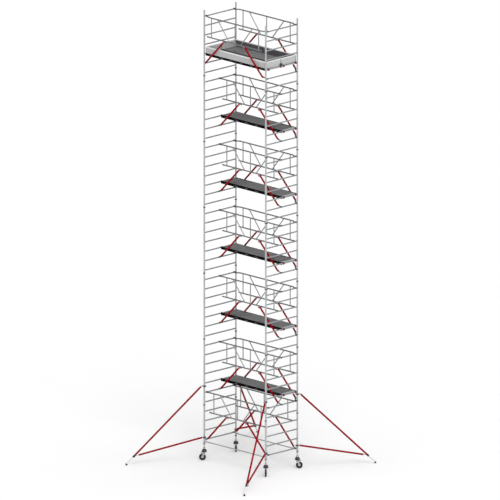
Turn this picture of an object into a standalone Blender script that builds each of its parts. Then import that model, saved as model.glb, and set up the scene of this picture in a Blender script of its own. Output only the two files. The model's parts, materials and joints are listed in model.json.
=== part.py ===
"""Mobile tower scaffold, 13.66 m tall, on four castors and four stabilisers.

Metres, +Z up, ground at z = 0 and the tower's axis at x = y = 0. X runs from one end frame
to the other, Y across the end frames. Pieces that come apart on a real tower are objects
of their own, and each moving piece has its origin on its joint's axis.
"""

import itertools
import math

import bmesh
import bpy
from mathutils import Matrix, Vector

GAP = 0.0004  # left between pieces that touch

# Sides of the round pieces
ROUND = 8
SLIM = 6
BAR = 4

# The grid that everything else hangs on
BAY_LENGTH = 2.575  # between the planes of the two end frames
BAY_WIDTH = 1.300  # between the uprights of one end frame
RUNG_PITCH = 2.0 / 7
FRAME_RUNGS = 7
FRAME_HEIGHT = FRAME_RUNGS * RUNG_PITCH
BASE_RUNGS = 4
BASE_HEIGHT = BASE_RUNGS * RUNG_PITCH
BASE_BOTTOM = 0.520
FIRST_RUNG = 0.100  # from a frame's lower end to its first rung
LEVELS = 6
FRAMES_IN_STACK = 3

# End frames
UPRIGHT_RADIUS = 0.0254
UPRIGHT_BORE = 0.0229
RUNG_RADIUS = 0.020
SPIGOT_RADIUS = 0.0222
SPIGOT_LENGTH = 0.150
SPIGOT_PLUG = 0.045  # how far up the spigot closes its own upright
JOINT_COLLAR_RADIUS = 0.0285
JOINT_COLLAR_HEIGHT = 0.060

# Adjustable legs and castors
SPINDLE_RADIUS = 0.019
SPINDLE_TOP = 0.900
SPINDLE_FLANGE_Z = (0.375, 0.393)
SPINDLE_FLANGE_RADIUS = 0.036
NUT_Z = (0.487, 0.530)
NUT_RADIUS = 0.035
KING_PIN_RADIUS = 0.012
KING_PIN_BOTTOM = 0.206
WHEEL_RADIUS = 0.100
WHEEL_HALF_WIDTH = 0.025
WHEEL_SIDES = 16
WHEEL_BORE = 0.0087
HUB_HALF_WIDTH = 0.029
AXLE_RADIUS = 0.008
CASTOR_TRAIL = 0.055
FORK_HALF_GAP = 0.031
CHEEK_THICKNESS = 0.006
CROWN_Z = (0.208, 0.226)
HEAD_RADIUS = 0.030
CAP_RADIUS = 0.078
CAP_SHOULDER = (0.064, 0.318)
CAP_SIDES = 12
CAP_Z = (0.258, 0.270, 0.312, 0.345)
PEDAL_PIVOT = (0.044, 0.244)  # out from the king pin, and above the ground
PEDAL_LENGTH = 0.062
PEDAL_HALF_WIDTH = 0.018
PEDAL_LUG_Y = (0.020, 0.026)
PEDAL_PIN_RADIUS = 0.005
PEDAL_BARREL_RADIUS = 0.011
SHOE_U = (0.036, 0.056)  # from the pedal's pin
SHOE_BOTTOM = -0.032

# Guardrail units
RAIL_RADIUS = 0.020
BRACE_RADIUS = 0.016
LEG_RADIUS = 0.0245
TOE_RADIUS = 0.017
TOE_SHARE = 0.52  # of the way from the ankle to the hook, where the leg narrows
KNEE_DROP = 0.600
KNEE_SHORT = 0.130
POST_INSET = 0.300
DIAGONAL_INSETS = (0.560, 1.050)
LEG_INSETS = (0.869, 0.115)
LEG_OUTWARD = 0.035  # from the rails' plane, away from the deck
FOOT_RISE = 0.065
UNIT_HEIGHT = 5 * RUNG_PITCH  # from the rung its feet hold to the rung its top rail holds
HOOK_HALF_WIDTH = 0.018
HOOK_BORE = RUNG_RADIUS + GAP
HOOK_WALL = 0.011
HOOK_LIP = -0.010
HOOK_INWARD = 0.075  # how far a hook sits inside the uprights' plane
FOOT_INWARD = 0.050
BEND_LENGTH = 0.170
BASE_UNIT_Y = BAY_WIDTH / 2 - 0.100
MIDDLE_UNIT_Y = -0.018

# Platforms, hatches and toe boards
DECK_WIDTH = 0.610
DECK_END_GAP = 0.022
DECK_TOP = 0.030  # above the rung's centre
DECK_STEP = 0.0015  # how far the deck's panel stands above the beams round it
DECK_BOTTOM = -0.050
DECK_THICKNESS = 0.012
SIDE_BEAM = 0.030
CROSS_BEAM = 0.040
DECK_HOOK_Y = 0.250
DECK_HOOK_HALF_WIDTH = 0.025
DECK_HOOK_WALL = 0.009
DECK_BAYS = 3
LEVEL_DECK_Y = 0.315
TOP_DECK_Y = 0.308
HATCH_X = (0.490, 1.130)
HATCH_Y = 0.225
HATCH_CLEARANCE = 0.003
HATCH_RADIUS = 0.0075
LEDGE = 0.012
LEDGE_TOP = 0.014
TOE_TOP = 0.225
TOE_THICKNESS = 0.022
TOE_OUTER_X = BAY_LENGTH / 2 - 0.030
TOE_OUTER_Y = BAY_WIDTH / 2 - 0.028

# Base braces and stabilisers
BRACE_Z = 0.570
BASE_BRACE_RADIUS = 0.0165
CLIP_RADIUS = 0.033
CLIP_HALF_HEIGHT = 0.020
STABILISER_HEADING = math.radians(60)  # from the X axis, outwards
CLAMP_RADIUS = 0.036
CLAMP_HALF_HEIGHT = 0.025
UPPER_CLAMP_Z = 2.248
LOWER_CLAMP_Z = 0.690
ARM_TOP = (0.100, 2.240)  # out from the upright's axis, and above the ground
ARM_FOOT = (2.360, 0.036)
ARM_SHARE = 0.912  # of the way to the foot, where the outer tube ends
ARM_RADIUS = 0.025
ARM_BORE = 0.0215
ARM_BORE_SHARE = 0.450
INNER_RADIUS = 0.021
INNER_TOP_SHARE = 0.700
STRUT_RADIUS = 0.0245
STRUT_START = 0.068
COLLAR_RADIUS = 0.032
COLLAR_LENGTH = 0.080
FOOT_RADIUS = 0.032
FOOT_HEIGHT = 0.055

CORNERS = {
    "front_left": (-1, -1),
    "back_left": (-1, 1),
    "front_right": (1, -1),
    "back_right": (1, 1),
}
ENDS = {"left": -1, "right": 1}
SIDES = {"front": -1, "back": 1}


def frame_bottom(level):
    """Lower end of the two metre frame of a level; the base frame is level 0."""
    if level == 0:
        return BASE_BOTTOM
    return BASE_BOTTOM + BASE_HEIGHT + (level - 1) * FRAME_HEIGHT


def rung_z(level, number):
    """Height of a rung's centre; rungs are numbered from 1 upwards in each frame."""
    return frame_bottom(level) + FIRST_RUNG + (number - 1) * RUNG_PITCH


# ---------------------------------------------------------------- shape helpers


def bore_round(radius, sides):
    """Radius of a bore of so many sides whose flats clear a round pin that turns in it."""
    return (radius + GAP) / math.cos(math.pi / sides)


def add_object(name, points, faces):
    mesh = bpy.data.meshes.new(name)
    mesh.from_pydata([tuple(p) for p in points], [], faces)
    mesh.update()
    shape = bmesh.new()
    shape.from_mesh(mesh)
    bmesh.ops.recalc_face_normals(shape, faces=shape.faces)
    shape.to_mesh(mesh)
    shape.free()
    thing = bpy.data.objects.new(name, mesh)
    bpy.context.scene.collection.objects.link(thing)
    return thing


def box(low, high):
    points = list(itertools.product(*zip(low, high)))
    faces = [(0, 1, 3, 2), (4, 6, 7, 5), (0, 4, 5, 1), (2, 3, 7, 6), (0, 2, 6, 4), (1, 5, 7, 3)]
    return add_object("box", points, faces)


def tube(points, radius, sides=SLIM, turn=0.5):
    """A solid round bar along a chain of points, mitred at each of them."""
    points = [Vector(p) for p in points]
    steps = [(b - a).normalized() for a, b in zip(points, points[1:])]
    across = steps[0].orthogonal().normalized()
    if abs(steps[0].z) < 0.9:
        across = steps[0].cross(Vector((0, 0, 1))).normalized()
    rings = []
    for index, centre in enumerate(points):
        before = steps[max(index - 1, 0)]
        after = steps[min(index, len(steps) - 1)]
        if index > 1:
            across = steps[index - 2].rotation_difference(before) @ across
        normal = (before + after).normalized()
        up = before.cross(across)
        for side in range(sides):
            angle = 2 * math.pi * (side + turn) / sides
            spoke = radius * (math.cos(angle) * across + math.sin(angle) * up)
            rings.append(centre + spoke - before * (spoke.dot(normal) / before.dot(normal)))
    faces = [tuple(range(sides)), tuple(range(len(rings) - sides, len(rings)))]
    for ring in range(len(points) - 1):
        for side in range(sides):
            a = ring * sides + side
            b = ring * sides + (side + 1) % sides
            faces.append((a, b, b + sides, a + sides))
    return add_object("tube", rings, faces)


def turned(profile, sides):
    """A closed profile of (radius, height) turned about the Z axis."""
    points = []
    for side in range(sides):
        angle = 2 * math.pi * (side + 0.5) / sides
        across, along = math.cos(angle), math.sin(angle)
        points += [(radius * across, radius * along, height) for radius, height in profile]
    count = len(profile)
    faces = []
    for side in range(sides):
        for corner in range(count):
            a = side * count + corner
            b = side * count + (corner + 1) % count
            c = (side + 1) % sides * count + (corner + 1) % count
            d = (side + 1) % sides * count + corner
            faces.append((a, b, c, d))
    return add_object("turned", points, faces)


def extrusion(outline, low, high):
    """An outline in X and Z, drawn out along Y from low to high."""
    count = len(outline)
    points = [(x, y, z) for y in (low, high) for x, z in outline]
    faces = [tuple(range(count)), tuple(range(count, 2 * count))]
    for corner in range(count):
        after = (corner + 1) % count
        faces.append((corner, after, after + count, corner + count))
    return add_object("extrusion", points, faces)


def turned_round(thing, degrees, axis):
    thing.data.transform(Matrix.Rotation(math.radians(degrees), 4, axis))
    return thing


def combine(body, operation, tools):
    """One Boolean of the body with every tool, baked into its mesh."""
    group = bpy.data.collections.new("tools")
    for tool in tools:
        group.objects.link(tool)
    step = body.modifiers.new(operation, "BOOLEAN")
    step.operation = operation
    step.solver = "EXACT"
    step.operand_type = "COLLECTION"
    step.collection = group
    bpy.context.view_layer.update()
    evaluated = body.evaluated_get(bpy.context.evaluated_depsgraph_get())
    baked = bpy.data.meshes.new_from_object(evaluated)
    body.modifiers.clear()
    body.data = baked
    for tool in tools:
        bpy.data.objects.remove(tool)
    bpy.data.collections.remove(group)


def fuse(pieces, cuts=()):
    """The mesh of one closed body: all pieces joined, less the cuts."""
    body = pieces[0]
    if pieces[1:]:
        combine(body, "UNION", pieces[1:])
    if cuts:
        combine(body, "DIFFERENCE", cuts)
    mesh = body.data
    bpy.data.objects.remove(body)
    mesh.shade_smooth()
    mesh.set_sharp_from_angle(angle=math.radians(50))
    return mesh


def place(name, mesh, finish, location=(0, 0, 0), heading=0.0, parent=None):
    """Shows a mesh as a named piece; meshes are shared by pieces that are alike."""
    if not mesh.materials:
        mesh.materials.append(finish)
    thing = bpy.data.objects.new(name, mesh)
    thing.location = location
    thing.rotation_euler = (0, 0, heading)
    thing.parent = parent
    bpy.context.scene.collection.objects.link(thing)
    return thing


def material(name, colour, roughness, metallic):
    made = bpy.data.materials.new(name)
    made.use_nodes = True
    made.diffuse_color = (*colour, 1)
    shader = made.node_tree.nodes["Principled BSDF"]
    shader.inputs["Base Color"].default_value = (*colour, 1)
    shader.inputs["Roughness"].default_value = roughness
    shader.inputs["Metallic"].default_value = metallic
    return made


# ---------------------------------------------------------------- end frames


def frame_mesh(rung_heights, height, collars, is_base):
    """A ladder frame in the plane x = 0, its lower end at z = 0.

    A base frame stands on the hand nuts of its two legs. Any other one has spigots that go
    down into the frame below it.
    """
    half = BAY_WIDTH / 2
    pieces = []
    cuts = []
    for side in (-half, half):
        pieces.append(tube([(0, side, 0), (0, side, height)], UPRIGHT_RADIUS, ROUND))
        for z in collars:
            low, high = z - JOINT_COLLAR_HEIGHT / 2, z + JOINT_COLLAR_HEIGHT / 2
            pieces.append(tube([(0, side, low), (0, side, high)], JOINT_COLLAR_RADIUS, ROUND))
        if is_base:
            low, high = (z - BASE_BOTTOM for z in NUT_Z)
            pieces.append(tube([(0, side, low), (0, side, high)], NUT_RADIUS, ROUND))
            cuts.append(tube([(0, side, -0.1), (0, side, 0.1)], SPINDLE_RADIUS + GAP, ROUND))
            cuts.append(tube([(0, side, 0), (0, side, height + 0.1)], UPRIGHT_BORE, ROUND))
        else:
            spigot = [(0, side, -SPIGOT_LENGTH), (0, side, SPIGOT_PLUG)]
            pieces.append(tube(spigot, SPIGOT_RADIUS, ROUND))
            cuts.append(tube([(0, side, SPIGOT_PLUG), (0, side, height + 0.1)], UPRIGHT_BORE, ROUND))
    for z in rung_heights:
        pieces.append(tube([(0, -half, z), (0, half, z)], RUNG_RADIUS, SLIM, 0))
    return fuse(pieces, cuts)


def end_frames(metal):
    base_rungs = [FIRST_RUNG + number * RUNG_PITCH for number in range(BASE_RUNGS)]
    base = frame_mesh(base_rungs, BASE_HEIGHT - GAP, [], True)
    rungs = [
        FIRST_RUNG + (frame * FRAME_RUNGS + number) * RUNG_PITCH
        for frame in range(FRAMES_IN_STACK)
        for number in range(FRAME_RUNGS)
    ]
    collars = [frame * FRAME_HEIGHT for frame in range(1, FRAMES_IN_STACK)]
    stack = frame_mesh(rungs, FRAMES_IN_STACK * FRAME_HEIGHT - GAP, collars, False)
    for end, sign in ENDS.items():
        x = sign * BAY_LENGTH / 2
        place(f"base_frame_{end}", base, metal, (x, 0, frame_bottom(0)))
        place(f"lower_frames_{end}", stack, metal, (x, 0, frame_bottom(1)))
        place(f"upper_frames_{end}", stack, metal, (x, 0, frame_bottom(1 + FRAMES_IN_STACK)))


# ---------------------------------------------------------------- guardrail units


def hook(x, y, z, half_width, wall=HOOK_WALL):
    """An upturned U that sits over a rung."""
    inner = HOOK_BORE
    outer = inner + wall
    outline = [(-outer, HOOK_LIP), (-outer, outer), (outer, outer), (outer, HOOK_LIP),
               (inner, HOOK_LIP), (inner, inner), (-inner, inner), (-inner, HOOK_LIP)]
    return extrusion([(x + dx, z + dz) for dx, dz in outline], y - half_width, y + half_width)


def guardrail_mesh(rail_inward, foot_inward):
    """A guardrail unit in the plane y = 0, its feet on a rung at z = 0, its inner side at -Y."""
    half = BAY_LENGTH / 2
    top = UNIT_HEIGHT
    knee = top - KNEE_DROP
    grip = half - HOOK_BORE - HOOK_WALL / 2
    pieces = []
    rail = [(-grip, -rail_inward, top), (grip, -rail_inward, top)]
    if rail_inward:
        bend = [(half - 0.060, -rail_inward, top), (half - BEND_LENGTH, 0, top)]
        rail = [rail[0]] + [(-x, y, z) for x, y, z in bend] + bend[::-1] + [rail[1]]
    pieces.append(tube(rail, RAIL_RADIUS))
    pieces.append(tube([(KNEE_SHORT - half, 0, knee), (half - KNEE_SHORT, 0, knee)], RAIL_RADIUS))
    pieces.append(tube([(0, 0, knee), (0, 0, top)], BRACE_RADIUS, BAR))
    for sign in (-1, 1):
        post = sign * (half - POST_INSET)
        pieces.append(tube([(post, 0, knee), (post, 0, top)], BRACE_RADIUS, BAR))
        upper, lower = (sign * (half - inset) for inset in DIAGONAL_INSETS)
        pieces.append(tube([(upper, 0, top), (lower, 0, knee)], BRACE_RADIUS, BAR))
        high, low = (sign * (half - inset) for inset in LEG_INSETS)
        ankle = Vector((low, LEG_OUTWARD, FOOT_RISE))
        toe = Vector((sign * grip, -foot_inward, 0.012))
        leg = [(high, LEG_OUTWARD, knee), ankle, ankle.lerp(toe, TOE_SHARE)]
        pieces.append(tube(leg, LEG_RADIUS, SLIM))
        pieces.append(tube([ankle.lerp(toe, TOE_SHARE / 2), toe], TOE_RADIUS, SLIM))
        pieces.append(hook(sign * half, -rail_inward, top, HOOK_HALF_WIDTH))
        pieces.append(hook(sign * half, -foot_inward, 0, HOOK_HALF_WIDTH))
    return fuse(pieces)


def guardrails(metal):
    straight = guardrail_mesh(0, 0)
    outer = guardrail_mesh(HOOK_INWARD, FOOT_INWARD)
    side = BAY_WIDTH / 2
    for name, sign in SIDES.items():
        heading = 0 if sign > 0 else math.pi
        place(f"guardrail_base_{name}", straight, metal, (0, sign * BASE_UNIT_Y, rung_z(0, 1)), heading)
        place(f"guardrail_top_{name}", outer, metal, (0, sign * side, rung_z(LEVELS, 2)), heading)
    for level in range(1, LEVELS):
        z = rung_z(level, 2)
        place(f"guardrail_{level}_middle", straight, metal, (0, MIDDLE_UNIT_Y, z), math.pi)
        place(f"guardrail_{level}_back", outer, metal, (0, side, z))


# ---------------------------------------------------------------- platforms


def platform_mesh(with_hatch):
    """A platform whose rungs are at z = 0; a hatchway, if it has one, is near its +X end."""
    half_length = BAY_LENGTH / 2 - DECK_END_GAP
    half_width = DECK_WIDTH / 2
    pocket_y = half_width - SIDE_BEAM
    beam_top = DECK_TOP - DECK_STEP
    pieces = [
        box((-half_length, -half_width, DECK_BOTTOM), (half_length, half_width, beam_top)),
        box((CROSS_BEAM - half_length, -pocket_y, 0), (half_length - CROSS_BEAM, pocket_y, DECK_TOP)),
    ]
    for end in (-1, 1):
        for y in (-DECK_HOOK_Y, DECK_HOOK_Y):
            pieces.append(hook(end * BAY_LENGTH / 2, y, 0, DECK_HOOK_HALF_WIDTH, DECK_HOOK_WALL))
    pocket_top = DECK_TOP - DECK_THICKNESS
    start = CROSS_BEAM - half_length
    stop = HATCH_X[0] - CROSS_BEAM if with_hatch else half_length - CROSS_BEAM
    pitch = (stop - start + CROSS_BEAM) / DECK_BAYS
    cuts = []
    for bay in range(DECK_BAYS):
        low = start + bay * pitch
        high = low + pitch - CROSS_BEAM
        cuts.append(box((low, -pocket_y, DECK_BOTTOM - 0.1), (high, pocket_y, pocket_top)))
    if with_hatch:
        low, high = HATCH_X
        cuts.append(box((low, -HATCH_Y, LEDGE_TOP), (high, HATCH_Y, DECK_TOP + 0.1)))
        shaft_y = HATCH_Y - LEDGE
        cuts.append(box((low + LEDGE, -shaft_y, DECK_BOTTOM - 0.1), (high - LEDGE, shaft_y, DECK_TOP)))
    return fuse(pieces, cuts)


def hatch_mesh():
    """A hatch that lies along -Y from its hinge, which is the rounded edge at y = z = 0."""
    half_length = (HATCH_X[1] - HATCH_X[0]) / 2 - HATCH_CLEARANCE
    reach = 2 * (HATCH_Y - HATCH_CLEARANCE) - HATCH_RADIUS
    outline = [(-reach, -HATCH_RADIUS), (-reach, HATCH_RADIUS)]
    for step in range(9):
        angle = math.pi * (0.5 - step / 8)
        outline.append((HATCH_RADIUS * math.cos(angle), HATCH_RADIUS * math.sin(angle)))
    panel = extrusion(outline, -half_length, half_length)
    return fuse([turned_round(panel, 90, "Z")])


def platforms(deck, panel):
    plain = platform_mesh(False)
    right = platform_mesh(True)
    left = right.copy()
    left.transform(Matrix.Scale(-1, 4, (1, 0, 0)))
    left.flip_normals()
    hatch = hatch_mesh()
    hatch_middle = (HATCH_X[0] + HATCH_X[1]) / 2
    hinge_y = HATCH_Y - HATCH_CLEARANCE - HATCH_RADIUS
    hinge_z = LEDGE_TOP + GAP + HATCH_RADIUS
    rows = [(str(level), level, f"platform_{level}", LEVEL_DECK_Y) for level in range(1, LEVELS)]
    rows.append(("top", LEVELS, "platform_top_back", TOP_DECK_Y))
    for label, level, name, y in rows:
        z = rung_z(level, 3)
        mesh, end = (right, 1) if level % 2 else (left, -1)
        place(name, mesh, deck, (0, y, z))
        place(f"hatch_{label}", hatch, panel, (end * hatch_middle, y + hinge_y, z + hinge_z))
    place("platform_top_front", plain, deck, (0, -TOP_DECK_Y, rung_z(LEVELS, 3)))


def toe_boards(paint):
    """The four boards round the top deck, held together at their corners as one ring."""
    z = rung_z(LEVELS, 3)
    low, high = z + DECK_TOP - DECK_STEP + GAP, z + TOE_TOP
    outside = box((-TOE_OUTER_X, -TOE_OUTER_Y, low), (TOE_OUTER_X, TOE_OUTER_Y, high))
    x, y = TOE_OUTER_X - TOE_THICKNESS, TOE_OUTER_Y - TOE_THICKNESS
    inside = box((-x, -y, low - 0.1), (x, y, high + 0.1))
    place("toe_boards", fuse([outside], [inside]), paint)


# ---------------------------------------------------------------- base braces and stabilisers


def base_braces(metal):
    half = BAY_LENGTH / 2
    pieces = [tube([(-half, 0, 0), (half, 0, 0)], BASE_BRACE_RADIUS)]
    cuts = []
    for end in (-half, half):
        clip = [(end, 0, -CLIP_HALF_HEIGHT), (end, 0, CLIP_HALF_HEIGHT)]
        pieces.append(tube(clip, CLIP_RADIUS, ROUND))
        bore = bore_round(UPRIGHT_RADIUS, ROUND)
        cuts.append(tube([(end, 0, -0.1), (end, 0, 0.1)], bore, ROUND))
        mouth = end + math.copysign(0.018, end)
        past = end + math.copysign(0.1, end)
        cuts.append(box((min(mouth, past), -0.1, -0.1), (max(mouth, past), 0.1, 0.1)))
    brace = fuse(pieces, cuts)
    for name, sign in SIDES.items():
        place(f"base_brace_{name}", brace, metal, (0, sign * BAY_WIDTH / 2, BRACE_Z))


def along_arm(share):
    """A point on the stabiliser's axis, at a share of the way from its top to its foot."""
    (u0, z0), (u1, z1) = ARM_TOP, ARM_FOOT
    return Vector((u0 + share * (u1 - u0), 0, z0 + share * (z1 - z0)))


def stabiliser_mesh():
    """The arm of a stabiliser that reaches out along +X from the upright at x = y = 0."""
    pieces = [tube([along_arm(0), along_arm(ARM_SHARE)], ARM_RADIUS, ROUND)]
    collar_top = ARM_SHARE - COLLAR_LENGTH / (along_arm(1) - along_arm(0)).length
    pieces.append(tube([along_arm(collar_top), along_arm(ARM_SHARE + 0.001)], COLLAR_RADIUS, ROUND))
    strut_end = along_arm((collar_top + ARM_SHARE) / 2)
    pieces.append(tube([(STRUT_START, 0, LOWER_CLAMP_Z), strut_end], STRUT_RADIUS, SLIM))
    cuts = []
    bore = bore_round(UPRIGHT_RADIUS, ROUND)
    for z, reach in ((UPPER_CLAMP_Z, ARM_TOP[0] + 0.025), (LOWER_CLAMP_Z, STRUT_START + 0.015)):
        low, high = z - CLAMP_HALF_HEIGHT, z + CLAMP_HALF_HEIGHT
        pieces.append(tube([(0, 0, low), (0, 0, high)], CLAMP_RADIUS, ROUND))
        pieces.append(box((0, -0.012, low + 0.004), (reach, 0.012, high - 0.004)))
        cuts.append(tube([(0, 0, low - 0.1), (0, 0, high + 0.1)], bore, ROUND))
    cuts.append(tube([along_arm(ARM_BORE_SHARE), along_arm(1)], ARM_BORE, ROUND))
    return fuse(pieces, cuts)


def stabiliser_foot_mesh():
    """The telescoping tube and its foot, about the point where its axis starts."""
    tube_part = tube([along_arm(INNER_TOP_SHARE), along_arm(1)], INNER_RADIUS, ROUND)
    foot = tube([(ARM_FOOT[0], 0, 0), (ARM_FOOT[0], 0, FOOT_HEIGHT)], FOOT_RADIUS, ROUND)
    return fuse([tube_part, foot])


# ---------------------------------------------------------------- legs and castors


def leg_mesh():
    low, high = SPINDLE_FLANGE_Z
    pieces = [
        tube([(0, 0, low + 0.005), (0, 0, SPINDLE_TOP)], SPINDLE_RADIUS, ROUND),
        tube([(0, 0, low), (0, 0, high)], SPINDLE_FLANGE_RADIUS, ROUND),
        tube([(0, 0, KING_PIN_BOTTOM), (0, 0, high - 0.002)], KING_PIN_RADIUS, ROUND),
    ]
    return fuse(pieces)


def fork_mesh():
    """A castor fork that turns about Z, with its brake cap, its axle trailing along +X."""
    low, high = CROWN_Z
    outside = FORK_HALF_GAP + CHEEK_THICKNESS
    pieces = [
        box((-0.028, -outside, low), (CASTOR_TRAIL + 0.006, outside, high)),
        tube([(0, 0, low + 0.002), (0, 0, SPINDLE_FLANGE_Z[0] - GAP)], HEAD_RADIUS, ROUND),
    ]
    eye = [
        (CASTOR_TRAIL + 0.022 * math.cos(angle), WHEEL_RADIUS + 0.022 * math.sin(angle))
        for angle in (math.radians(-180 + 36 * step) for step in range(6))
    ]
    cheek = eye + [(CASTOR_TRAIL + 0.006, high - 0.001), (-0.027, high - 0.001), (-0.027, low + 0.002)]
    for side in (-1, 1):
        inner, outer = sorted((side * FORK_HALF_GAP, side * (outside - 0.0005)))
        pieces.append(extrusion(cheek, inner, outer))
        lug = sorted((side * PEDAL_LUG_Y[0], side * PEDAL_LUG_Y[1]))
        u, z = PEDAL_PIVOT
        pieces.append(box((u - 0.009, lug[0], high - 0.005), (u + 0.009, lug[1], z + 0.010)))
    pieces.append(cross_pin((CASTOR_TRAIL, WHEEL_RADIUS), outside - 0.003, AXLE_RADIUS))
    pieces.append(cross_pin(PEDAL_PIVOT, PEDAL_LUG_Y[1] - 0.002, PEDAL_PIN_RADIUS))
    bottom, edge, inside, top = CAP_Z
    cap = [(0.020, top), (0.040, top), CAP_SHOULDER, (CAP_RADIUS, edge), (CAP_RADIUS, bottom),
           (CAP_RADIUS - 0.008, bottom), (0.020, inside)]
    pieces.append(turned(cap, CAP_SIDES))
    bore = tube([(0, 0, 0.1), (0, 0, 0.5)], bore_round(KING_PIN_RADIUS, ROUND), ROUND)
    return fuse(pieces, [bore])


def cross_pin(centre, half_length, radius, sides=SLIM):
    u, z = centre
    return tube([(u, -half_length, z), (u, half_length, z)], radius, sides)


def pedal_mesh():
    """The brake pedal about its pin, its tread along +X and its shoe above the tyre."""
    barrel = cross_pin((0, 0), PEDAL_HALF_WIDTH, PEDAL_BARREL_RADIUS, 8)
    tread = box((0.004, -PEDAL_HALF_WIDTH, -0.004), (PEDAL_LENGTH, PEDAL_HALF_WIDTH, 0.004))
    shoe_y = PEDAL_HALF_WIDTH - 0.001
    shoe = box((SHOE_U[0], -shoe_y, SHOE_BOTTOM), (SHOE_U[1], shoe_y, 0))
    bore = cross_pin((0, 0), 0.05, bore_round(PEDAL_PIN_RADIUS, SLIM))
    return fuse([barrel, tread, shoe], [bore])


def wheel_mesh():
    flat = WHEEL_RADIUS / math.cos(math.pi / WHEEL_SIDES)
    half = WHEEL_HALF_WIDTH
    profile = [(WHEEL_BORE, HUB_HALF_WIDTH), (0.026, HUB_HALF_WIDTH), (0.034, 0.013), (0.066, 0.013),
               (0.073, half), (flat, half - 0.007)]
    profile += [(radius, -height) for radius, height in reversed(profile)]
    return fuse([turned_round(turned(profile, WHEEL_SIDES), 90, "X")])


def corner_pieces(steel, rubber, aluminium, red):
    leg, fork, pedal, wheel = leg_mesh(), fork_mesh(), pedal_mesh(), wheel_mesh()
    arm, foot = stabiliser_mesh(), stabiliser_foot_mesh()
    for name, (x, y) in CORNERS.items():
        corner = (x * BAY_LENGTH / 2, y * BAY_WIDTH / 2, 0)
        heading = math.atan2(y, x)
        leg_piece = place(f"leg_{name}", leg, steel, corner)
        fork_piece = place(f"castor_fork_{name}", fork, steel, (0, 0, 0), heading, leg_piece)
        place(f"wheel_{name}", wheel, rubber, (CASTOR_TRAIL, 0, WHEEL_RADIUS), 0, fork_piece)
        u, z = PEDAL_PIVOT
        place(f"brake_pedal_{name}", pedal, steel, (u, 0, z), 0, fork_piece)
        outwards = math.atan2(y * math.sin(STABILISER_HEADING), x * math.cos(STABILISER_HEADING))
        arm_piece = place(f"stabiliser_{name}", arm, red, corner, outwards)
        place(f"stabiliser_leg_{name}", foot, aluminium, (0, 0, 0), 0, arm_piece)


def build():
    for thing in list(bpy.data.objects):
        bpy.data.objects.remove(thing)
    aluminium = material("aluminium", (0.62, 0.63, 0.64), 0.42, 0.9)
    red = material("red_coating", (0.50, 0.03, 0.02), 0.45, 0.0)
    deck = material("deck_grey", (0.16, 0.16, 0.16), 0.75, 0.0)
    panel = material("hatch_grey", (0.14, 0.14, 0.14), 0.70, 0.0)
    toe = material("toe_board_grey", (0.60, 0.59, 0.56), 0.60, 0.0)
    steel = material("dark_steel", (0.10, 0.10, 0.11), 0.45, 0.7)
    rubber = material("black_rubber", (0.02, 0.02, 0.02), 0.80, 0.0)
    end_frames(aluminium)
    guardrails(aluminium)
    platforms(deck, panel)
    toe_boards(toe)
    base_braces(aluminium)
    corner_pieces(steel, rubber, aluminium, red)
    bpy.context.view_layer.update()


build()
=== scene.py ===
"""Looks of a mobile tower scaffold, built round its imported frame.

Metres, +Z up. X runs from the left end frame to the right one and Y from the front to the
back. A mesh is made once and shown at each place that the frame gives for it.
"""

import json
import math

import bmesh
import bpy
from mathutils import Matrix, Vector


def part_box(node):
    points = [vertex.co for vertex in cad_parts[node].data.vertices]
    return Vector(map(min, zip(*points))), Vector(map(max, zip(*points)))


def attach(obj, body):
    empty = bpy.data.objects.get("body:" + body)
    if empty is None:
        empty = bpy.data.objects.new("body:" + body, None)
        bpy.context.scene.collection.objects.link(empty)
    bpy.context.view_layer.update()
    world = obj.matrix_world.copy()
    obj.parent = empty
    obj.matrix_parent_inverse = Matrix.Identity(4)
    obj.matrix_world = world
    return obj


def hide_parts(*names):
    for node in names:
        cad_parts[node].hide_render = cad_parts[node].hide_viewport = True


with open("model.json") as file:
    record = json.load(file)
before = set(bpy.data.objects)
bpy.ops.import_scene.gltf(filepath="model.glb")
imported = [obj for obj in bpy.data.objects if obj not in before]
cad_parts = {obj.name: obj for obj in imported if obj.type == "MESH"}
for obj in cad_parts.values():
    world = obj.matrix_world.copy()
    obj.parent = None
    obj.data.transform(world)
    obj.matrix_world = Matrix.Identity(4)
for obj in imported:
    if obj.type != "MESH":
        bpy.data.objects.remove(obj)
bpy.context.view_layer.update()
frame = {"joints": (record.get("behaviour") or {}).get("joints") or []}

JOINTS = {joint["name"]: joint for joint in frame["joints"]}
CORNER = Vector(JOINTS["stabiliser_back_right_swing"]["pos_m"])

# The grid, as the frame has it
HALF_LENGTH = CORNER.x
HALF_WIDTH = CORNER.y
RUNG_PITCH = 2.0 / 7
FRAME_RUNGS = 7
BASE_RUNGS = 4
FRAME_HEIGHT = FRAME_RUNGS * RUNG_PITCH
BASE_HEIGHT = BASE_RUNGS * RUNG_PITCH
SPIGOT_LENGTH = 0.150
BASE_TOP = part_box("lower_frames_left")[0].z + SPIGOT_LENGTH
FIRST_RUNG = 0.100
LEVELS = 6
FRAMES_IN_STACK = 3
SEAM = 0.0005  # left between pieces that touch
PLAY = 0.0006  # between a tube and the fitting that goes round it

# End frames
UPRIGHT_RADIUS = 0.0254
UPRIGHT_BORE = 0.0229
RUNG_RADIUS = 0.0200
RUNG_RIBS = 18
RUNG_RIB_DEPTH = 0.0008
RUNG_SINK = 0.013
SPIGOT_RADIUS = 0.0222
SPIGOT_WALL = 0.003
SPIGOT_HELD = 0.045
CRIMP_HEIGHT = 0.070
CRIMP_STEP = 0.0016
CLIP_BAND = 0.0335
CLIP_HALF_HEIGHT = 0.0145
CLIP_RISE = 0.003
CLIP_PIN_REACH = 0.0400

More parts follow.
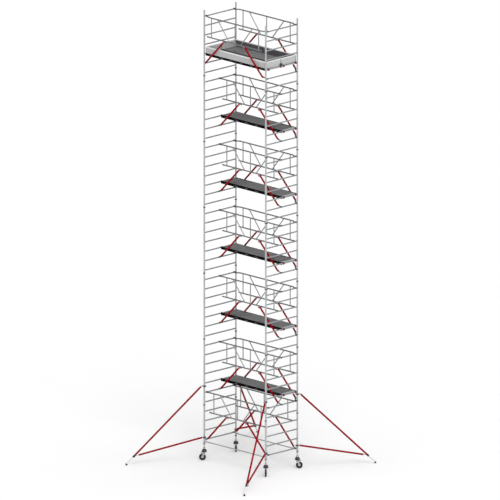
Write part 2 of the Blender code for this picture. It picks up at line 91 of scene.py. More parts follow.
# Guardrail units
RAIL_RADIUS = 0.0200
BRACE_RADIUS = 0.0160
LEG_RADIUS = 0.0265
TOE_RADIUS = 0.0190
UNIT_HEIGHT = 5 * RUNG_PITCH
KNEE_Z = UNIT_HEIGHT - 0.600
KNEE_SHORT = 0.130
POST_INSET = 0.300
DIAGONAL_INSETS = (0.560, 1.050)
LEG_INSETS = (0.869, 0.115)
LEG_OUTWARD = 0.035  # from the rails' plane, away from the deck
FOOT_RISE = 0.065
HOOK_BORE = 0.0204
HOOK_WALL = 0.011
HOOK_LIP = 0.010
HOOK_HALF_WIDTH = 0.018
HOOK_GRIP = HALF_LENGTH - HOOK_BORE - HOOK_WALL / 2  # where a tube ends in its hook
HOOK_INWARD = 0.075
FOOT_INWARD = 0.050
BEND_LENGTH = 0.170
RAIL_SLEEVE = 0.050
RED_SHARE = 0.30  # of the way from the ankle to the toe, where the coating ends

# Platforms, hatches and toe boards
DECK_HALF_LENGTH = HALF_LENGTH - 0.022
DECK_HALF_WIDTH = 0.305
DECK_TOP = 0.030
DECK_STEP = 0.0015
DECK_BOTTOM = -0.050
DECK_THICKNESS = 0.012
SIDE_BEAM = 0.030
END_BEAM = 0.040
UNDER_BEAM_PITCH = 0.43
UNDER_BEAM_HALF_WIDTH = 0.020
SLOTS = 6
SLOT_PITCH = 0.42
SLOT_SIZE = (0.120, 0.014)
SLOT_PROUD = 0.0016
RIVETS = 13
RIVET_PITCH = 0.200
DECK_HOOK_Y = 0.250
DECK_HOOK_HALF_WIDTH = 0.025
DECK_HOOK_WALL = 0.009
HATCH_X = (0.490, 1.130)
HATCH_Y = 0.225
HATCH_CLEARANCE = 0.003
HATCH_HALF_THICKNESS = 0.0075
HATCH_LEDGE = 0.012
HATCH_LEDGE_TOP = 0.014
HATCH_TRIM = 0.0012
HATCH_STRAP_X = 0.200
TOE_BOTTOM = DECK_TOP - DECK_STEP + SEAM
TOE_TOP = 0.225
TOE_THICKNESS = 0.022
TOE_SKIN = 0.012
TOE_HALF_GAP = 0.003

# Legs and castors
SPINDLE_RADIUS = 0.0190
SPINDLE_TOP = 0.900
THREAD_PITCH = 0.0065
THREAD_DEPTH = 0.0016
FLANGE_Z = (0.375, 0.393)
FLANGE_RADIUS = 0.036
NUT_Z = (0.487, 0.530)
KING_PIN_RADIUS = 0.012
KING_PIN_BOTTOM = 0.206
WHEEL_RADIUS = 0.100
WHEEL_HALF_WIDTH = 0.025
WHEEL_RIBS = 8
AXLE_EYE_RADIUS = 0.020
CASTOR_TRAIL = 0.055
FORK_HALF_GAP = 0.031
CHEEK_THICKNESS = 0.006
CROWN_Z = (0.208, 0.226)
HEAD_RADIUS = 0.030
CAP_RADIUS = 0.078
PEDAL_PIVOT = (0.044, 0.244)
PEDAL_HALF_WIDTH = 0.018

# Base braces and stabilisers
BASE_BRACE_RADIUS = 0.0165
CLAW_WALL = 0.007
CLAW_MOUTH = 52  # degrees from its middle to each tip
STABILISER_HEADING = math.radians(60)
UPPER_CLAMP_Z = 2.248
LOWER_CLAMP_Z = 0.690
CLAMP_RADIUS = 0.036
CLAMP_HALF_HEIGHT = 0.025
CLAMP_SCREW_X = -0.046
ARM_TOP = (0.100, 2.240)
ARM_FOOT = (2.360, 0.036)
ARM_SHARE = 0.912
ARM_RADIUS = 0.027
ARM_BORE = 0.0215
INNER_RADIUS = 0.0210
INNER_TOP_SHARE = 0.700
STRUT_START = 0.068
ARM_STRUT_RADIUS = 0.0265
STRUT_ROD_RADIUS = 0.0115
STRUT_ROD_SHOWN = 0.150
COLLAR_RADIUS = 0.032
COLLAR_LENGTH = 0.080
LOCK_HOLES = 9
LOCK_HOLE_PITCH = 0.085
LAST_LOCK_HOLE = 0.120
FOOT_RADIUS = 0.032
FOOT_HEIGHT = 0.055

CORNERS = {
    "front_left": (-1, -1),
    "back_left": (-1, 1),
    "front_right": (1, -1),
    "back_right": (1, 1),
}
ENDS = {"left": -1, "right": 1}
SIDES = {"front": -1, "back": 1}

X, Y, Z = Vector((1, 0, 0)), Vector((0, 1, 0)), Vector((0, 0, 1))


def frame_bottom(level):
    """Lower end of a level's ladder frame; the base frame is level 0."""
    if level == 0:
        return BASE_TOP - BASE_HEIGHT
    return BASE_TOP + (level - 1) * FRAME_HEIGHT


def rung_z(level, number):
    """Height of a rung's centre, numbered from 1 upwards in each frame."""
    return frame_bottom(level) + FIRST_RUNG + (number - 1) * RUNG_PITCH


# ---------------------------------------------------------------- materials


NOISE_MIDDLE = (0.3, 0.7)  # most of a noise's values lie between these


class Look:
    """A material that is built node by node round one Principled shader."""

    def __init__(self, name, colour, metallic, roughness):
        self.material = bpy.data.materials.new(name)
        self.material.use_nodes = True
        self.tree = self.material.node_tree
        self.shader = self.tree.nodes["Principled BSDF"]
        self.material.diffuse_color = (*colour, 1)
        self.set("Base Color", (*colour, 1))
        self.set("Metallic", metallic)
        self.set("Roughness", roughness)
        self.grain = self.add("Attribute", attribute_name="flow").outputs["Vector"]

    def feed(self, socket, value):
        """Gives an input another node's output, or a plain value."""
        if isinstance(value, bpy.types.NodeSocket):
            self.tree.links.new(value, socket)
        else:
            socket.default_value = value

    def set(self, socket, value):
        self.feed(self.shader.inputs[socket], value)

    def add(self, kind, inputs=None, **settings):
        made = self.tree.nodes.new("ShaderNode" + kind)
        for key, value in settings.items():
            setattr(made, key, value)
        for key, value in (inputs or {}).items():
            self.feed(made.inputs[key], value)
        return made

    def stretched(self, along, across):
        """The grain's own coordinates, drawn out along it."""
        scale = (along, across, across)
        return self.add("Mapping", {"Vector": self.grain, "Scale": scale}).outputs["Vector"]

    def noise(self, vector, scale, detail=3.0, rough=0.5):
        inputs = {"Vector": vector, "Scale": scale, "Detail": detail, "Roughness": rough}
        return self.add("TexNoise", inputs).outputs["Fac"]

    def remap(self, value, low, high, to_low, to_high):
        inputs = {"Value": value, "From Min": low, "From Max": high, "To Min": to_low, "To Max": to_high}
        return self.add("MapRange", inputs).outputs["Result"]

    def blend(self, share, first, second):
        """A colour between two, each a socket or a plain colour."""
        made = self.add("Mix", {0: share}, data_type="RGBA")
        for number, value in ((6, first), (7, second)):
            is_socket = isinstance(value, bpy.types.NodeSocket)
            self.feed(made.inputs[number], value if is_socket else (*value, 1))
        return made.outputs[2]

    def mottle(self, noise, colour, dark, light):
        """The colour made darker and lighter by a noise."""
        share = self.remap(noise, *NOISE_MIDDLE, 0, 1)
        return self.blend(share, shade(colour, dark), shade(colour, light))

    def patch(self, tone, noise, start, full, strength, colour):
        """The tone with a colour over it, from start to full, where a noise is high."""
        return self.blend(self.remap(noise, start, full, 0, strength), tone, colour)

    def roughen(self, noise, low, high):
        """Roughness that follows a noise."""
        self.set("Roughness", self.remap(noise, *NOISE_MIDDLE, low, high))

    def bump(self, height, distance, strength):
        inputs = {"Height": height, "Distance": distance, "Strength": strength}
        self.set("Normal", self.add("Bump", inputs).outputs["Normal"])


def shade(colour, factor):
    return tuple(min(1.0, channel * factor) for channel in colour)


def drawn_metal(name, colour, roughness, metallic=0.9, streaks=1.0):
    """Drawn tube: streaks along it, cloudy oxide, small rubbed marks."""
    look = Look(name, colour, metallic, roughness)
    streak = look.noise(look.stretched(2.0, 90.0), 5.0, 4.0, 0.6)
    cloud = look.noise(look.stretched(1.0, 2.5), 3.0, 2.0)
    mark = look.noise(look.stretched(18.0, 45.0), 6.0, 2.0, 0.6)
    tone = look.mottle(streak, colour, 0.86, 1.08)
    tone = look.patch(tone, cloud, 0.35, 0.75, 0.35, shade(colour, 0.74))
    tone = look.patch(tone, mark, 0.66, 0.72, 0.5, shade(colour, 0.55))
    look.set("Base Color", tone)
    look.set("Roughness", look.remap(streak, 0.25, 0.75, roughness - 0.07, roughness + 0.12))
    look.bump(streak, 0.00025 * streaks, 0.5)
    return look.material


def coated_metal(name, colour, roughness, chip, chips, specular):
    """Powder coating: a faint orange peel, and the colour chip where wear rises past chips."""
    look = Look(name, colour, 0.0, roughness)
    peel = look.noise(look.grain, 380.0, 1.0)
    cloud = look.noise(look.stretched(1.5, 6.0), 3.0, 3.0)
    wear = look.noise(look.stretched(20.0, 60.0), 3.5, 4.0, 0.65)
    tone = look.mottle(cloud, colour, 0.80, 1.12)
    look.set("Base Color", look.patch(tone, wear, chips, chips + 0.03, 1, chip))
    look.roughen(cloud, roughness - 0.06, roughness + 0.10)
    look.set("Specular IOR Level", specular)
    look.bump(peel, 0.00012, 0.5)
    return look.material


def cast_metal(name, colour, roughness, metallic=0.6):
    """Forged or cast fittings: a grainy skin, darker in patches."""
    look = Look(name, colour, metallic, roughness)
    grit = look.noise(look.grain, 420.0, 3.0, 0.6)
    cloud = look.noise(look.grain, 34.0, 3.0)
    rubbed = look.noise(look.grain, 75.0, 3.0, 0.6)
    tone = look.mottle(cloud, colour, 0.72, 1.25)
    look.set("Base Color", look.patch(tone, rubbed, 0.62, 0.70, 0.6, shade(colour, 2.1)))
    look.roughen(cloud, roughness - 0.08, roughness + 0.10)
    look.bump(grit, 0.0004, 0.4)
    return look.material


def deck_film(name, colour):
    """Film faced plywood with an anti-slip print, dusty and scuffed."""
    look = Look(name, colour, 0.0, 0.72)
    print_cells = look.add("TexVoronoi", {"Vector": look.grain, "Scale": 210.0}, feature="F1")
    dots = look.remap(print_cells.outputs["Distance"], 0.10, 0.45, 1, 0)
    dust = look.noise(look.grain, 4.5, 5.0, 0.6)
    scuff = look.noise(look.stretched(3.0, 70.0), 2.6, 4.0, 0.7)
    tone = look.mottle(dust, colour, 0.84, 1.16)
    tone = look.patch(tone, scuff, 0.60, 0.75, 0.45, shade(colour, 1.75))
    look.set("Base Color", look.patch(tone, dots, 0, 1, 0.25, shade(colour, 0.6)))
    look.roughen(dust, 0.62, 0.84)
    look.bump(dots, 0.0006, 0.6)
    return look.material


def coated_board(name, colour):
    """Coated toe board: the wood's grain telegraphs faintly through, with scuffs."""
    look = Look(name, colour, 0.0, 0.55)
    fibre = look.noise(look.stretched(2.5, 120.0), 3.0, 4.0, 0.6)
    cloud = look.noise(look.grain, 3.2, 3.0)
    scuff = look.noise(look.stretched(12.0, 45.0), 2.4, 4.0, 0.7)
    tone = look.mottle(fibre, colour, 0.93, 1.05)
    tone = look.patch(tone, cloud, 0.35, 0.75, 0.30, shade(colour, 0.82))
    look.set("Base Color", look.patch(tone, scuff, 0.66, 0.74, 0.5, shade(colour, 0.62)))
    look.roughen(cloud, 0.48, 0.66)
    look.bump(fibre, 0.0003, 0.35)
    return look.material


def rubber(name, colour):
    """Solid rubber: matt, with dust in its pores."""
    look = Look(name, colour, 0.0, 0.78)
    grit = look.noise(look.grain, 500.0, 2.0)
    dust = look.noise(look.grain, 28.0, 4.0, 0.65)
    look.set("Base Color", look.patch(colour, dust, 0.48, 0.72, 0.55, shade(colour, 4.5)))
    look.roughen(dust, 0.66, 0.90)
    look.set("Specular IOR Level", 0.25)
    look.bump(grit, 0.0004, 0.5)
    return look.material


def moulded(name, colour, roughness):
    """Moulded plastic: a fine eroded skin and faint flow marks."""
    look = Look(name, colour, 0.0, roughness)
    skin = look.noise(look.grain, 700.0, 2.0)
    flow = look.noise(look.stretched(8.0, 30.0), 2.5, 3.0)
    look.set("Base Color", look.mottle(flow, colour, 0.85, 1.15))
    look.roughen(flow, roughness - 0.07, roughness + 0.09)
    look.bump(skin, 0.0002, 0.4)
    return look.material


ALUMINIUM = drawn_metal("aluminium_tube", (0.49, 0.50, 0.51), 0.36)
BRIGHT_METAL = drawn_metal("aluminium_bright", (0.78, 0.79, 0.80), 0.42, 0.8)
# Rungs, posts, diagonals and under-beams are the same aluminium as the uprights, made darker: the darker
# tone is painted shade.
SHADED_RUNG_METAL = drawn_metal("aluminium_rung_painted_shade", (0.33, 0.34, 0.35), 0.44)
# The top and knee rails are the same aluminium as the uprights, made darker still: the darker tone is
# painted shade.
SHADED_RAIL_METAL = drawn_metal("aluminium_rail_painted_shade", (0.25, 0.26, 0.27), 0.40)
WELD_METAL = cast_metal("weld_bead", (0.40, 0.40, 0.41), 0.40, 0.8)
ZINC = drawn_metal("zinc_steel", (0.50, 0.50, 0.50), 0.38, 0.85, 0.6)
DARK_STEEL = cast_metal("dark_steel", (0.022, 0.022, 0.024), 0.50, 0.15)
FITTING = cast_metal("grey_fitting", (0.16, 0.16, 0.17), 0.42)
RED = coated_metal("red_coating", (0.250, 0.001, 0.005), 0.52, (0.12, 0.06, 0.06), 0.75, 0.05)
RED_BRACKET = coated_metal("red_bracket", (0.34, 0.085, 0.09), 0.50, (0.22, 0.20, 0.20), 0.73, 0.2)
BLACK_BEAM = coated_metal("black_beam", (0.003, 0.003, 0.0035), 0.60, (0.05, 0.05, 0.05), 0.76, 0.02)
DECK_GREY = deck_film("deck_film", (0.155, 0.155, 0.158))
HATCH_GREY = deck_film("hatch_film", (0.135, 0.135, 0.138))
# The long boards' inner face: film faced like the deck, but darker than the deck's film as painted shade.
# The end boards keep the light face colour inside.
SHADED_BOARD_INSIDE = deck_film("toe_board_inside_painted_shade", (0.085, 0.085, 0.090))
BOARD_FACE = coated_board("toe_board_face", (0.435, 0.445, 0.440))
BOARD_LIP = drawn_metal("toe_board_lip", (0.84, 0.84, 0.83), 0.42, 0.2)
TYRE = rubber("tyre_rubber", (0.010, 0.010, 0.011))
FOOT_RUBBER = rubber("foot_rubber", (0.085, 0.022, 0.022))
HUB_GREY = moulded("hub_grey", (0.50, 0.51, 0.52), 0.40)
CAP_BLACK = moulded("cap_black", (0.020, 0.020, 0.022), 0.45)


# ---------------------------------------------------------------- shapes


class Shape:
    """The faces of one piece, each with its material, and the grain that runs through it."""

    def __init__(self):
        self.points = []
        self.grain = []
        self.faces = []
        self.looks = []
        self.count = 0

    def add(self, solid, look, at=None):
        """Adds a solid, moved by the matrix at."""
        points, faces, grain = solid
        self.count += 1
        shift = Vector((0.37, 0.113, 0.231)) * self.count
        start = len(self.points)
        move = at or Matrix()
        self.points += [move @ point for point in points]
        self.grain += [spot + shift for spot in grain]
        self.faces += [[start + corner for corner in face] for face in faces]
        self.looks += [look] * len(faces)

    def add_bar(self, start, end, radius, look):
        """Adds a round bar between two points."""
        start, end = Vector(start), Vector(end)
        self.add(rod((end - start).length, radius, 20), look, place(start, end - start))

    def weld(self, where, away, host_axis, ring, host, thickness, steps):
        """Adds the weld where a tube leaves, in the direction away, a host along host_axis."""
        self.add(bead(ring, host, thickness, steps), WELD_METAL, place(where, away, host_axis))

    def mesh(self, name):
        made = bpy.data.meshes.new(name)
        made.from_pydata(self.points, [], self.faces)
        looks = list(dict.fromkeys(self.looks))
        for look in looks:
            made.materials.append(look)
        made.polygons.foreach_set("material_index", [looks.index(look) for look in self.looks])
        grain = made.attributes.new("flow", "FLOAT_VECTOR", "POINT")
        grain.data.foreach_set("vector", [value for spot in self.grain for value in spot])
        shell = bmesh.new()
        shell.from_mesh(made)
        bmesh.ops.recalc_face_normals(shell, faces=shell.faces)
        shell.to_mesh(made)
        shell.free()
        made.shade_smooth()
        made.set_sharp_from_angle(angle=math.radians(38))
        return made


def place(origin=(0, 0, 0), z_axis=Z, x_axis=None):
    """A matrix that carries a solid's own Z axis to z_axis, and its X near x_axis."""
    z_axis = Vector(z_axis).normalized()
    if x_axis is None:
        x_axis = X if abs(z_axis.x) < 0.7 else Y
    x_axis = Vector(x_axis)
    x_axis = (x_axis - x_axis.dot(z_axis) * z_axis).normalized()
    made = Matrix((x_axis, z_axis.cross(x_axis), z_axis)).transposed().to_4x4()
    made.translation = Vector(origin)
    return made


def ring_faces(rings, sides, loop):
    """Quads between rings of points, joined end to end if loop, or else capped."""
    faces = []
    for ring in range(rings if loop else rings - 1):
        for side in range(sides):
            a = ring * sides + side
            b = ring * sides + (side + 1) % sides
            c = (ring + 1) % rings * sides + (side + 1) % sides
            d = (ring + 1) % rings * sides + side
            faces.append((a, b, c, d))
    if not loop:
        faces.append(tuple(range(sides)))
        faces.append(tuple(range((rings - 1) * sides, rings * sides)))
    return faces


def turns(count):
    """Angles spaced evenly round a circle."""
    return [2 * math.pi * step / count for step in range(count)]


def on_circle(radius, turn):
    return radius * math.cos(turn), radius * math.sin(turn)


def circle(radius, sides):
    return [on_circle(radius, turn) for turn in turns(sides)]


def grain_up(points):
    """The grain of a solid whose length runs along Z."""
    return [Vector((point.z, point.x, point.y)) for point in points]


def lathe(profile, sides, loop=False):
    """A profile of (radius, height) turned about Z; a loop comes back to its start."""
    points = [Vector((*spot, height)) for radius, height in profile for spot in circle(radius, sides)]
    return points, ring_faces(len(profile), sides, loop), grain_up(points)


def rod(length, radius, sides, chamfer=0.0015):
    """A solid bar up from z = 0 with its ends chamfered."""
    small = radius - chamfer
    return lathe([(small, 0), (radius, chamfer), (radius, length - chamfer), (small, length)], sides)


def pin(low, high, radius, tip_radius, sides):
    """A bar between two heights whose ends narrow in their last millimetre."""
    ends = [(tip_radius, low), (radius, low + 0.001), (radius, high - 0.001), (tip_radius, high)]
    return lathe(ends, sides)


def pipe(low, high, radius, bore, sides, lip=0.0008):
    """An open tube between two heights, with its rims eased."""
    profile = [
        (bore, low + lip), (bore + lip, low), (radius - lip, low), (radius, low + lip),
        (radius, high - lip), (radius - lip, high), (bore + lip, high), (bore, high - lip),
    ]
    return lathe(profile, sides, loop=True)


def both_sides(half):
    """A profile above z = 0 with its mirror image below."""
    return half + [(radius, -height) for radius, height in reversed(half) if height]


def rounded(corners, reach, steps=7):
    """A chain of points with each inner corner eased over a length of reach to both sides."""
    corners = [Vector(corner) for corner in corners]
    path = [corners[0]]
    for before, corner, after in zip(corners, corners[1:], corners[2:]):
        back = before - corner
        onward = after - corner
        start = corner + back.normalized() * min(reach, back.length * 0.48)
        end = corner + onward.normalized() * min(reach, onward.length * 0.48)
        for step in range(steps + 1):
            t = step / steps
            path.append((1 - t) ** 2 * start + 2 * t * (1 - t) * corner + t * t * end)
    path.append(corners[-1])
    return path


def sweep(path, outline, end_scale=0.92, end_step=0.0015):
    """A cross-section carried along a path, its ends eased in."""
    path = [Vector(point) for point in path]
    first = (path[1] - path[0]).normalized()
    last = (path[-1] - path[-2]).normalized()
    path = [path[0], path[0] + first * end_step] + path[1:-1] + [path[-1] - last * end_step, path[-1]]
    steps = [(b - a).normalized() for a, b in zip(path, path[1:])]
    across = steps[0].cross(Z if abs(steps[0].z) < 0.9 else X).normalized()
    points, grain, run = [], [], 0.0
    for index, centre in enumerate(path):
        before = steps[max(index - 1, 0)]
        after = steps[min(index, len(steps) - 1)]
        if index > 1:
            across = steps[index - 2].rotation_difference(before) @ across
        if index:
            run += (centre - path[index - 1]).length
        normal = (before + after).normalized()
        up = before.cross(across)
        scale = end_scale if index in (0, len(path) - 1) else 1.0
        for a, b in outline:
            spoke = (a * across + b * up) * scale
            points.append(centre + spoke - before * (spoke.dot(normal) / before.dot(normal)))
            grain.append(Vector((run, a, b)))
    return points, ring_faces(len(path), len(outline), False), grain


def ribbed_circle(radius, ribs, depth):
    """A round section with flat-topped ribs along the tube."""
    outline = []
    for rib in range(ribs):
        for share, drop in ((0.00, 0), (0.55, 0), (0.68, depth), (0.87, depth)):
            outline.append(on_circle(radius - drop, 2 * math.pi * (rib + share) / ribs))
    return outline


def from_bmesh(shell):
    """The points, faces and grain of a bmesh, which is freed."""
    shell.verts.index_update()
    points = [vert.co.copy() for vert in shell.verts]
    faces = [tuple(vert.index for vert in face.verts) for face in shell.faces]
    shell.free()
    spans = [max(p[axis] for p in points) - min(p[axis] for p in points) for axis in range(3)]
    longest_first = sorted(range(3), key=lambda axis: -spans[axis])
    grain = [Vector([point[axis] for axis in longest_first]) for point in points]
    return points, faces, grain


def block(low, high, bevel, segments=2):
    """A box with rounded edges."""
    shell = bmesh.new()
    bmesh.ops.create_cube(shell, size=1)
    low, high = Vector(low), Vector(high)
    for vert in shell.verts:
        vert.co = Vector(low[i] if vert.co[i] < 0 else high[i] for i in range(3))
    bmesh.ops.bevel(shell, geom=shell.edges[:], offset=bevel, segments=segments, affect="EDGES")
    return from_bmesh(shell)


def plate(outline, low, high, bevel, segments=2):
    """An outline of (x, y) drawn from z = low to high, with its rims eased."""
    shell = bmesh.new()
    floor = shell.faces.new([shell.verts.new((x, y, low)) for x, y in outline])
    raised = bmesh.ops.extrude_face_region(shell, geom=[floor])["geom"]
    for item in raised:
        if isinstance(item, bmesh.types.BMVert):
            item.co.z = high
    rims = [edge for edge in shell.edges if abs(edge.verts[0].co.z - edge.verts[1].co.z) < 1e-6]
    bmesh.ops.bevel(shell, geom=rims, offset=bevel, segments=segments, affect="EDGES")
    return from_bmesh(shell)


def window(outer, inner, low, high):
    """A flat slab with a rectangular opening; outer and inner are (x0, y0, x1, y1)."""
    def corners(box):
        x0, y0, x1, y1 = box
        return [(x0, y0), (x1, y0), (x1, y1), (x0, y1)]
    points = []
    for z in (low, high):
        for box in (outer, inner):
            points += [Vector((x, y, z)) for x, y in corners(box)]
    faces = []
    for side in range(4):
        after = (side + 1) % 4
        faces.append((side, after, 4 + after, 4 + side))
        faces.append((8 + side, 8 + after, 12 + after, 12 + side))
        faces.append((side, after, 8 + after, 8 + side))
        faces.append((4 + side, 4 + after, 12 + after, 12 + side))
    return points, faces, points


def prism(outline, low, high):
    """An outline of (y, z) drawn along X."""
    points = [Vector((x, y, z)) for x in (low, high) for y, z in outline]
    return points, ring_faces(2, len(outline), False), points


def bead(ring, host, thickness, steps, sides=8):
    """A weld where a tube of radius ring meets one of radius host, whose axis is this X."""
    points = []
    for turn in turns(steps):
        level = -math.sqrt(host ** 2 - (ring * math.sin(turn)) ** 2)
        size = thickness * (1 + 0.22 * math.cos(9 * turn))
        for out, rise in circle(size, sides):
            points.append(Vector((*on_circle(ring + out, turn), level + rise)))
    return points, ring_faces(steps, sides, True), points


def arc(radius, start, end, steps):
    """Points from one angle to another, in degrees."""
    angles = [start + (end - start) * step / steps for step in range(steps + 1)]
    return [on_circle(radius, math.radians(angle)) for angle in angles]


def hook_outline(wall):
    """A saddle over a rung: round on top, with straight sides down to the lip."""
    outer, inner = HOOK_BORE + wall, HOOK_BORE
    outline = [(outer, -HOOK_LIP), *arc(outer, 0, 180, 10), (-outer, -HOOK_LIP)]
    return outline + [(-inner, -HOOK_LIP), *arc(inner, 180, 0, 10), (inner, -HOOK_LIP)]


def across_y(x, y, z):
    """Puts a plate's own X and Y along X and Z, and its thickness along -Y."""
    return Matrix.Translation((x, y, z)) @ Matrix.Rotation(math.pi / 2, 4, "X")


# ---------------------------------------------------------------- showing pieces


def show(name, mesh, body, nodes, location, heading=0.0):
    """One piece of the object: where it is, what carries it and which CAD nodes it stands for."""
    piece = bpy.data.objects.new(name, mesh)
    bpy.context.scene.collection.objects.link(piece)
    piece.location = location
    piece.rotation_euler = (0, 0, heading)
    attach(piece, body)
    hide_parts(*nodes)


# ---------------------------------------------------------------- end frames


def ladder_mesh(name, height, rungs, has_spigots):
    """A ladder frame in the plane x = 0 with its lower end at z = 0."""
    shape = Shape()
    swell = UPRIGHT_RADIUS + CRIMP_STEP
    crimp = [
        (UPRIGHT_RADIUS - 0.001, 0.001), (swell - 0.0006, 0.001), (swell, 0.004),
        (swell, CRIMP_HEIGHT - 0.010), (UPRIGHT_RADIUS - 0.0004, CRIMP_HEIGHT),
        (UPRIGHT_RADIUS - 0.001, CRIMP_HEIGHT),
    ]
    spigot = pipe(-SPIGOT_LENGTH, SPIGOT_HELD, SPIGOT_RADIUS, SPIGOT_RADIUS - SPIGOT_WALL, 28)
    for side in (-HALF_WIDTH, HALF_WIDTH):
        at = place((0, side, 0))
        shape.add(pipe(0, height - SEAM, UPRIGHT_RADIUS, UPRIGHT_BORE, 40), ALUMINIUM, at)
        if has_spigots:
            shape.add(spigot, ALUMINIUM, at)
            shape.add(lathe(crimp, 40, loop=True), ALUMINIUM, at)
    rung_outline = ribbed_circle(RUNG_RADIUS, RUNG_RIBS, RUNG_RIB_DEPTH)
    reach = HALF_WIDTH - RUNG_SINK
    for number in range(rungs):
        z = FIRST_RUNG + number * RUNG_PITCH
        # rungs in the darker copy of the aluminium, whose darker tone is painted shade
        shape.add(sweep([(0, -reach, z), (0, reach, z)], rung_outline), SHADED_RUNG_METAL)
        for sign in (-1, 1):
            shape.weld((0, sign * HALF_WIDTH, z), Y * sign, Z, RUNG_RADIUS, UPRIGHT_RADIUS, 0.0024, 28)
    return shape.mesh(name)


def clip_mesh():
    """A spring clip: a band round the joint with its pin through both tubes."""
    shape = Shape()
    half, bore, out = CLIP_HALF_HEIGHT, UPRIGHT_RADIUS + CRIMP_STEP + PLAY, CLIP_BAND
    band = [
        (bore, 0.002 - half), (out - 0.003, -half), (out, 0.003 - half), (out - 0.001, 0),
        (out, half - 0.003), (out - 0.003, half), (bore, half - 0.002),
    ]
    shape.add(lathe(band, 36, loop=True), DARK_STEEL)
    head = [
        (0.0045, 0.0245), (0.0045, out), (0.0075, out + 0.0005),
        (0.0080, CLIP_PIN_REACH - 0.002), (0.0060, CLIP_PIN_REACH),
    ]
    for sign in (-1, 1):
        shape.add(lathe(head, 16), FITTING, place((0, 0, 0), X * sign))
    tip = CLIP_PIN_REACH - 0.002
    wire = [
        (tip, 0, 0), (0.030, -0.020, -0.012), (0.004, -0.0355, -0.020), (-0.024, -0.025, -0.012),
        (-tip, 0, 0),
    ]
    shape.add(sweep(rounded(wire, 0.012, 4), circle(0.0018, 8), 0.9, 0.0005), FITTING)
    return shape.mesh("spring_clip")


def end_frames():
    """A base frame and six ladder frames at each end, with a spring clip at each joint."""
    base = ladder_mesh("base_ladder", BASE_HEIGHT, BASE_RUNGS, False)
    ladder = ladder_mesh("ladder", FRAME_HEIGHT, FRAME_RUNGS, True)
    clip = clip_mesh()
    for end, sign in ENDS.items():
        x = sign * HALF_LENGTH
        node = [f"base_frame_{end}"]
        show(f"base_ladder_{end}", base, "tower", node, (x, 0, frame_bottom(0)))
        for level in range(1, LEVELS + 1):
            stack = "lower" if level <= FRAMES_IN_STACK else "upper"
            node = [f"{stack}_frames_{end}"]
            z = frame_bottom(level)
            show(f"ladder_{level}_{end}", ladder, "tower", node, (x, 0, z))
            for side, y in SIDES.items():
                spot = (x, y * HALF_WIDTH, z + CLIP_HALF_HEIGHT + CLIP_RISE)
                show(f"spring_clip_{level}_{side}_{end}", clip, "tower", node, spot)


# ---------------------------------------------------------------- guardrail units


def guardrail_hook(shape, end, y, z):
    """The hook over a rung, with the latch at its side and the pin of that latch."""
    saddle = plate(hook_outline(HOOK_WALL), -HOOK_HALF_WIDTH, HOOK_HALF_WIDTH, 0.002)
    shape.add(saddle, DARK_STEEL, across_y(end * HALF_LENGTH, y, z))
    x = end * (HALF_LENGTH - HOOK_BORE - HOOK_WALL + 0.004)
    latch = block((-0.007, -0.0035, -0.030), (0.007, 0.0035, 0.004), 0.0015)
    shape.add(latch, FITTING, place((x, y + HOOK_HALF_WIDTH + 0.004, z + 0.004)))
    shape.add(pin(-0.026, 0.026, 0.0060, 0.0035, 14), FITTING, place((x, y, z + 0.002), Y))


def guardrail_leg(shape, sign, foot_inward):
    """A red leg from the knee rail round its ankle, its bracket, and its grey tip in the hook."""
    high, low = (sign * (HALF_LENGTH - inset) for inset in LEG_INSETS)
    ankle = Vector((low, LEG_OUTWARD, FOOT_RISE))
    toe = Vector((sign * HOOK_GRIP, -foot_inward, 0.012))
    red_end = ankle.lerp(toe, RED_SHARE)
    shoulder = Vector((high, LEG_OUTWARD, KNEE_Z))
    red = rounded([shoulder + (ankle - shoulder).normalized() * 0.030, ankle, red_end], 0.05)
    shape.add(sweep(red, circle(LEG_RADIUS, 28)), RED)
    out = (toe - ankle).normalized()
    shape.add_bar(red_end - out * 0.02, toe, TOE_RADIUS, FITTING)
    cuff = rod(0.012, LEG_RADIUS + 0.0012, 28, 0.002)
    shape.add(cuff, DARK_STEEL, place(red_end - out * 0.006, out))
    leg_bracket(shape, high, -sign)


def leg_bracket(shape, x, inward):
    """The two plates that hold a leg's top to the outside of the knee rail, and their bolts."""
    outline = [
        (-0.030, 0.010), (0.022, 0.010), (0.030, 0.000), (0.030, -0.030), (0.018, -0.056),
        (-0.022, -0.056), (-0.030, -0.030),
    ]
    outline = [(-inward * dx, dz) for dx, dz in outline]
    leg_side = LEG_OUTWARD + LEG_RADIUS
    for y in (-0.0225, leg_side + 0.0020):
        shape.add(plate(outline, -0.0015, 0.0015, 0.0008, 1), RED_BRACKET, across_y(x, y, KNEE_Z))
    bolt = rod(leg_side + 0.034, 0.0055, 14, 0.001)
    for dx, dz in ((-0.020, -0.008), (0.020, -0.008), (0.006, -0.044)):
        shape.add(bolt, ZINC, place((x - inward * dx, -0.0275, KNEE_Z + dz), Y))


def rail_welds(shape, top_x, knee_x):
    """The welds of a tube between the top rail and the knee rail."""
    for x, z, away in ((top_x, UNIT_HEIGHT, Z), (knee_x, KNEE_Z, -Z)):
        shape.weld((x, 0, z), away, X, BRACE_RADIUS, RAIL_RADIUS, 0.0022, 24)


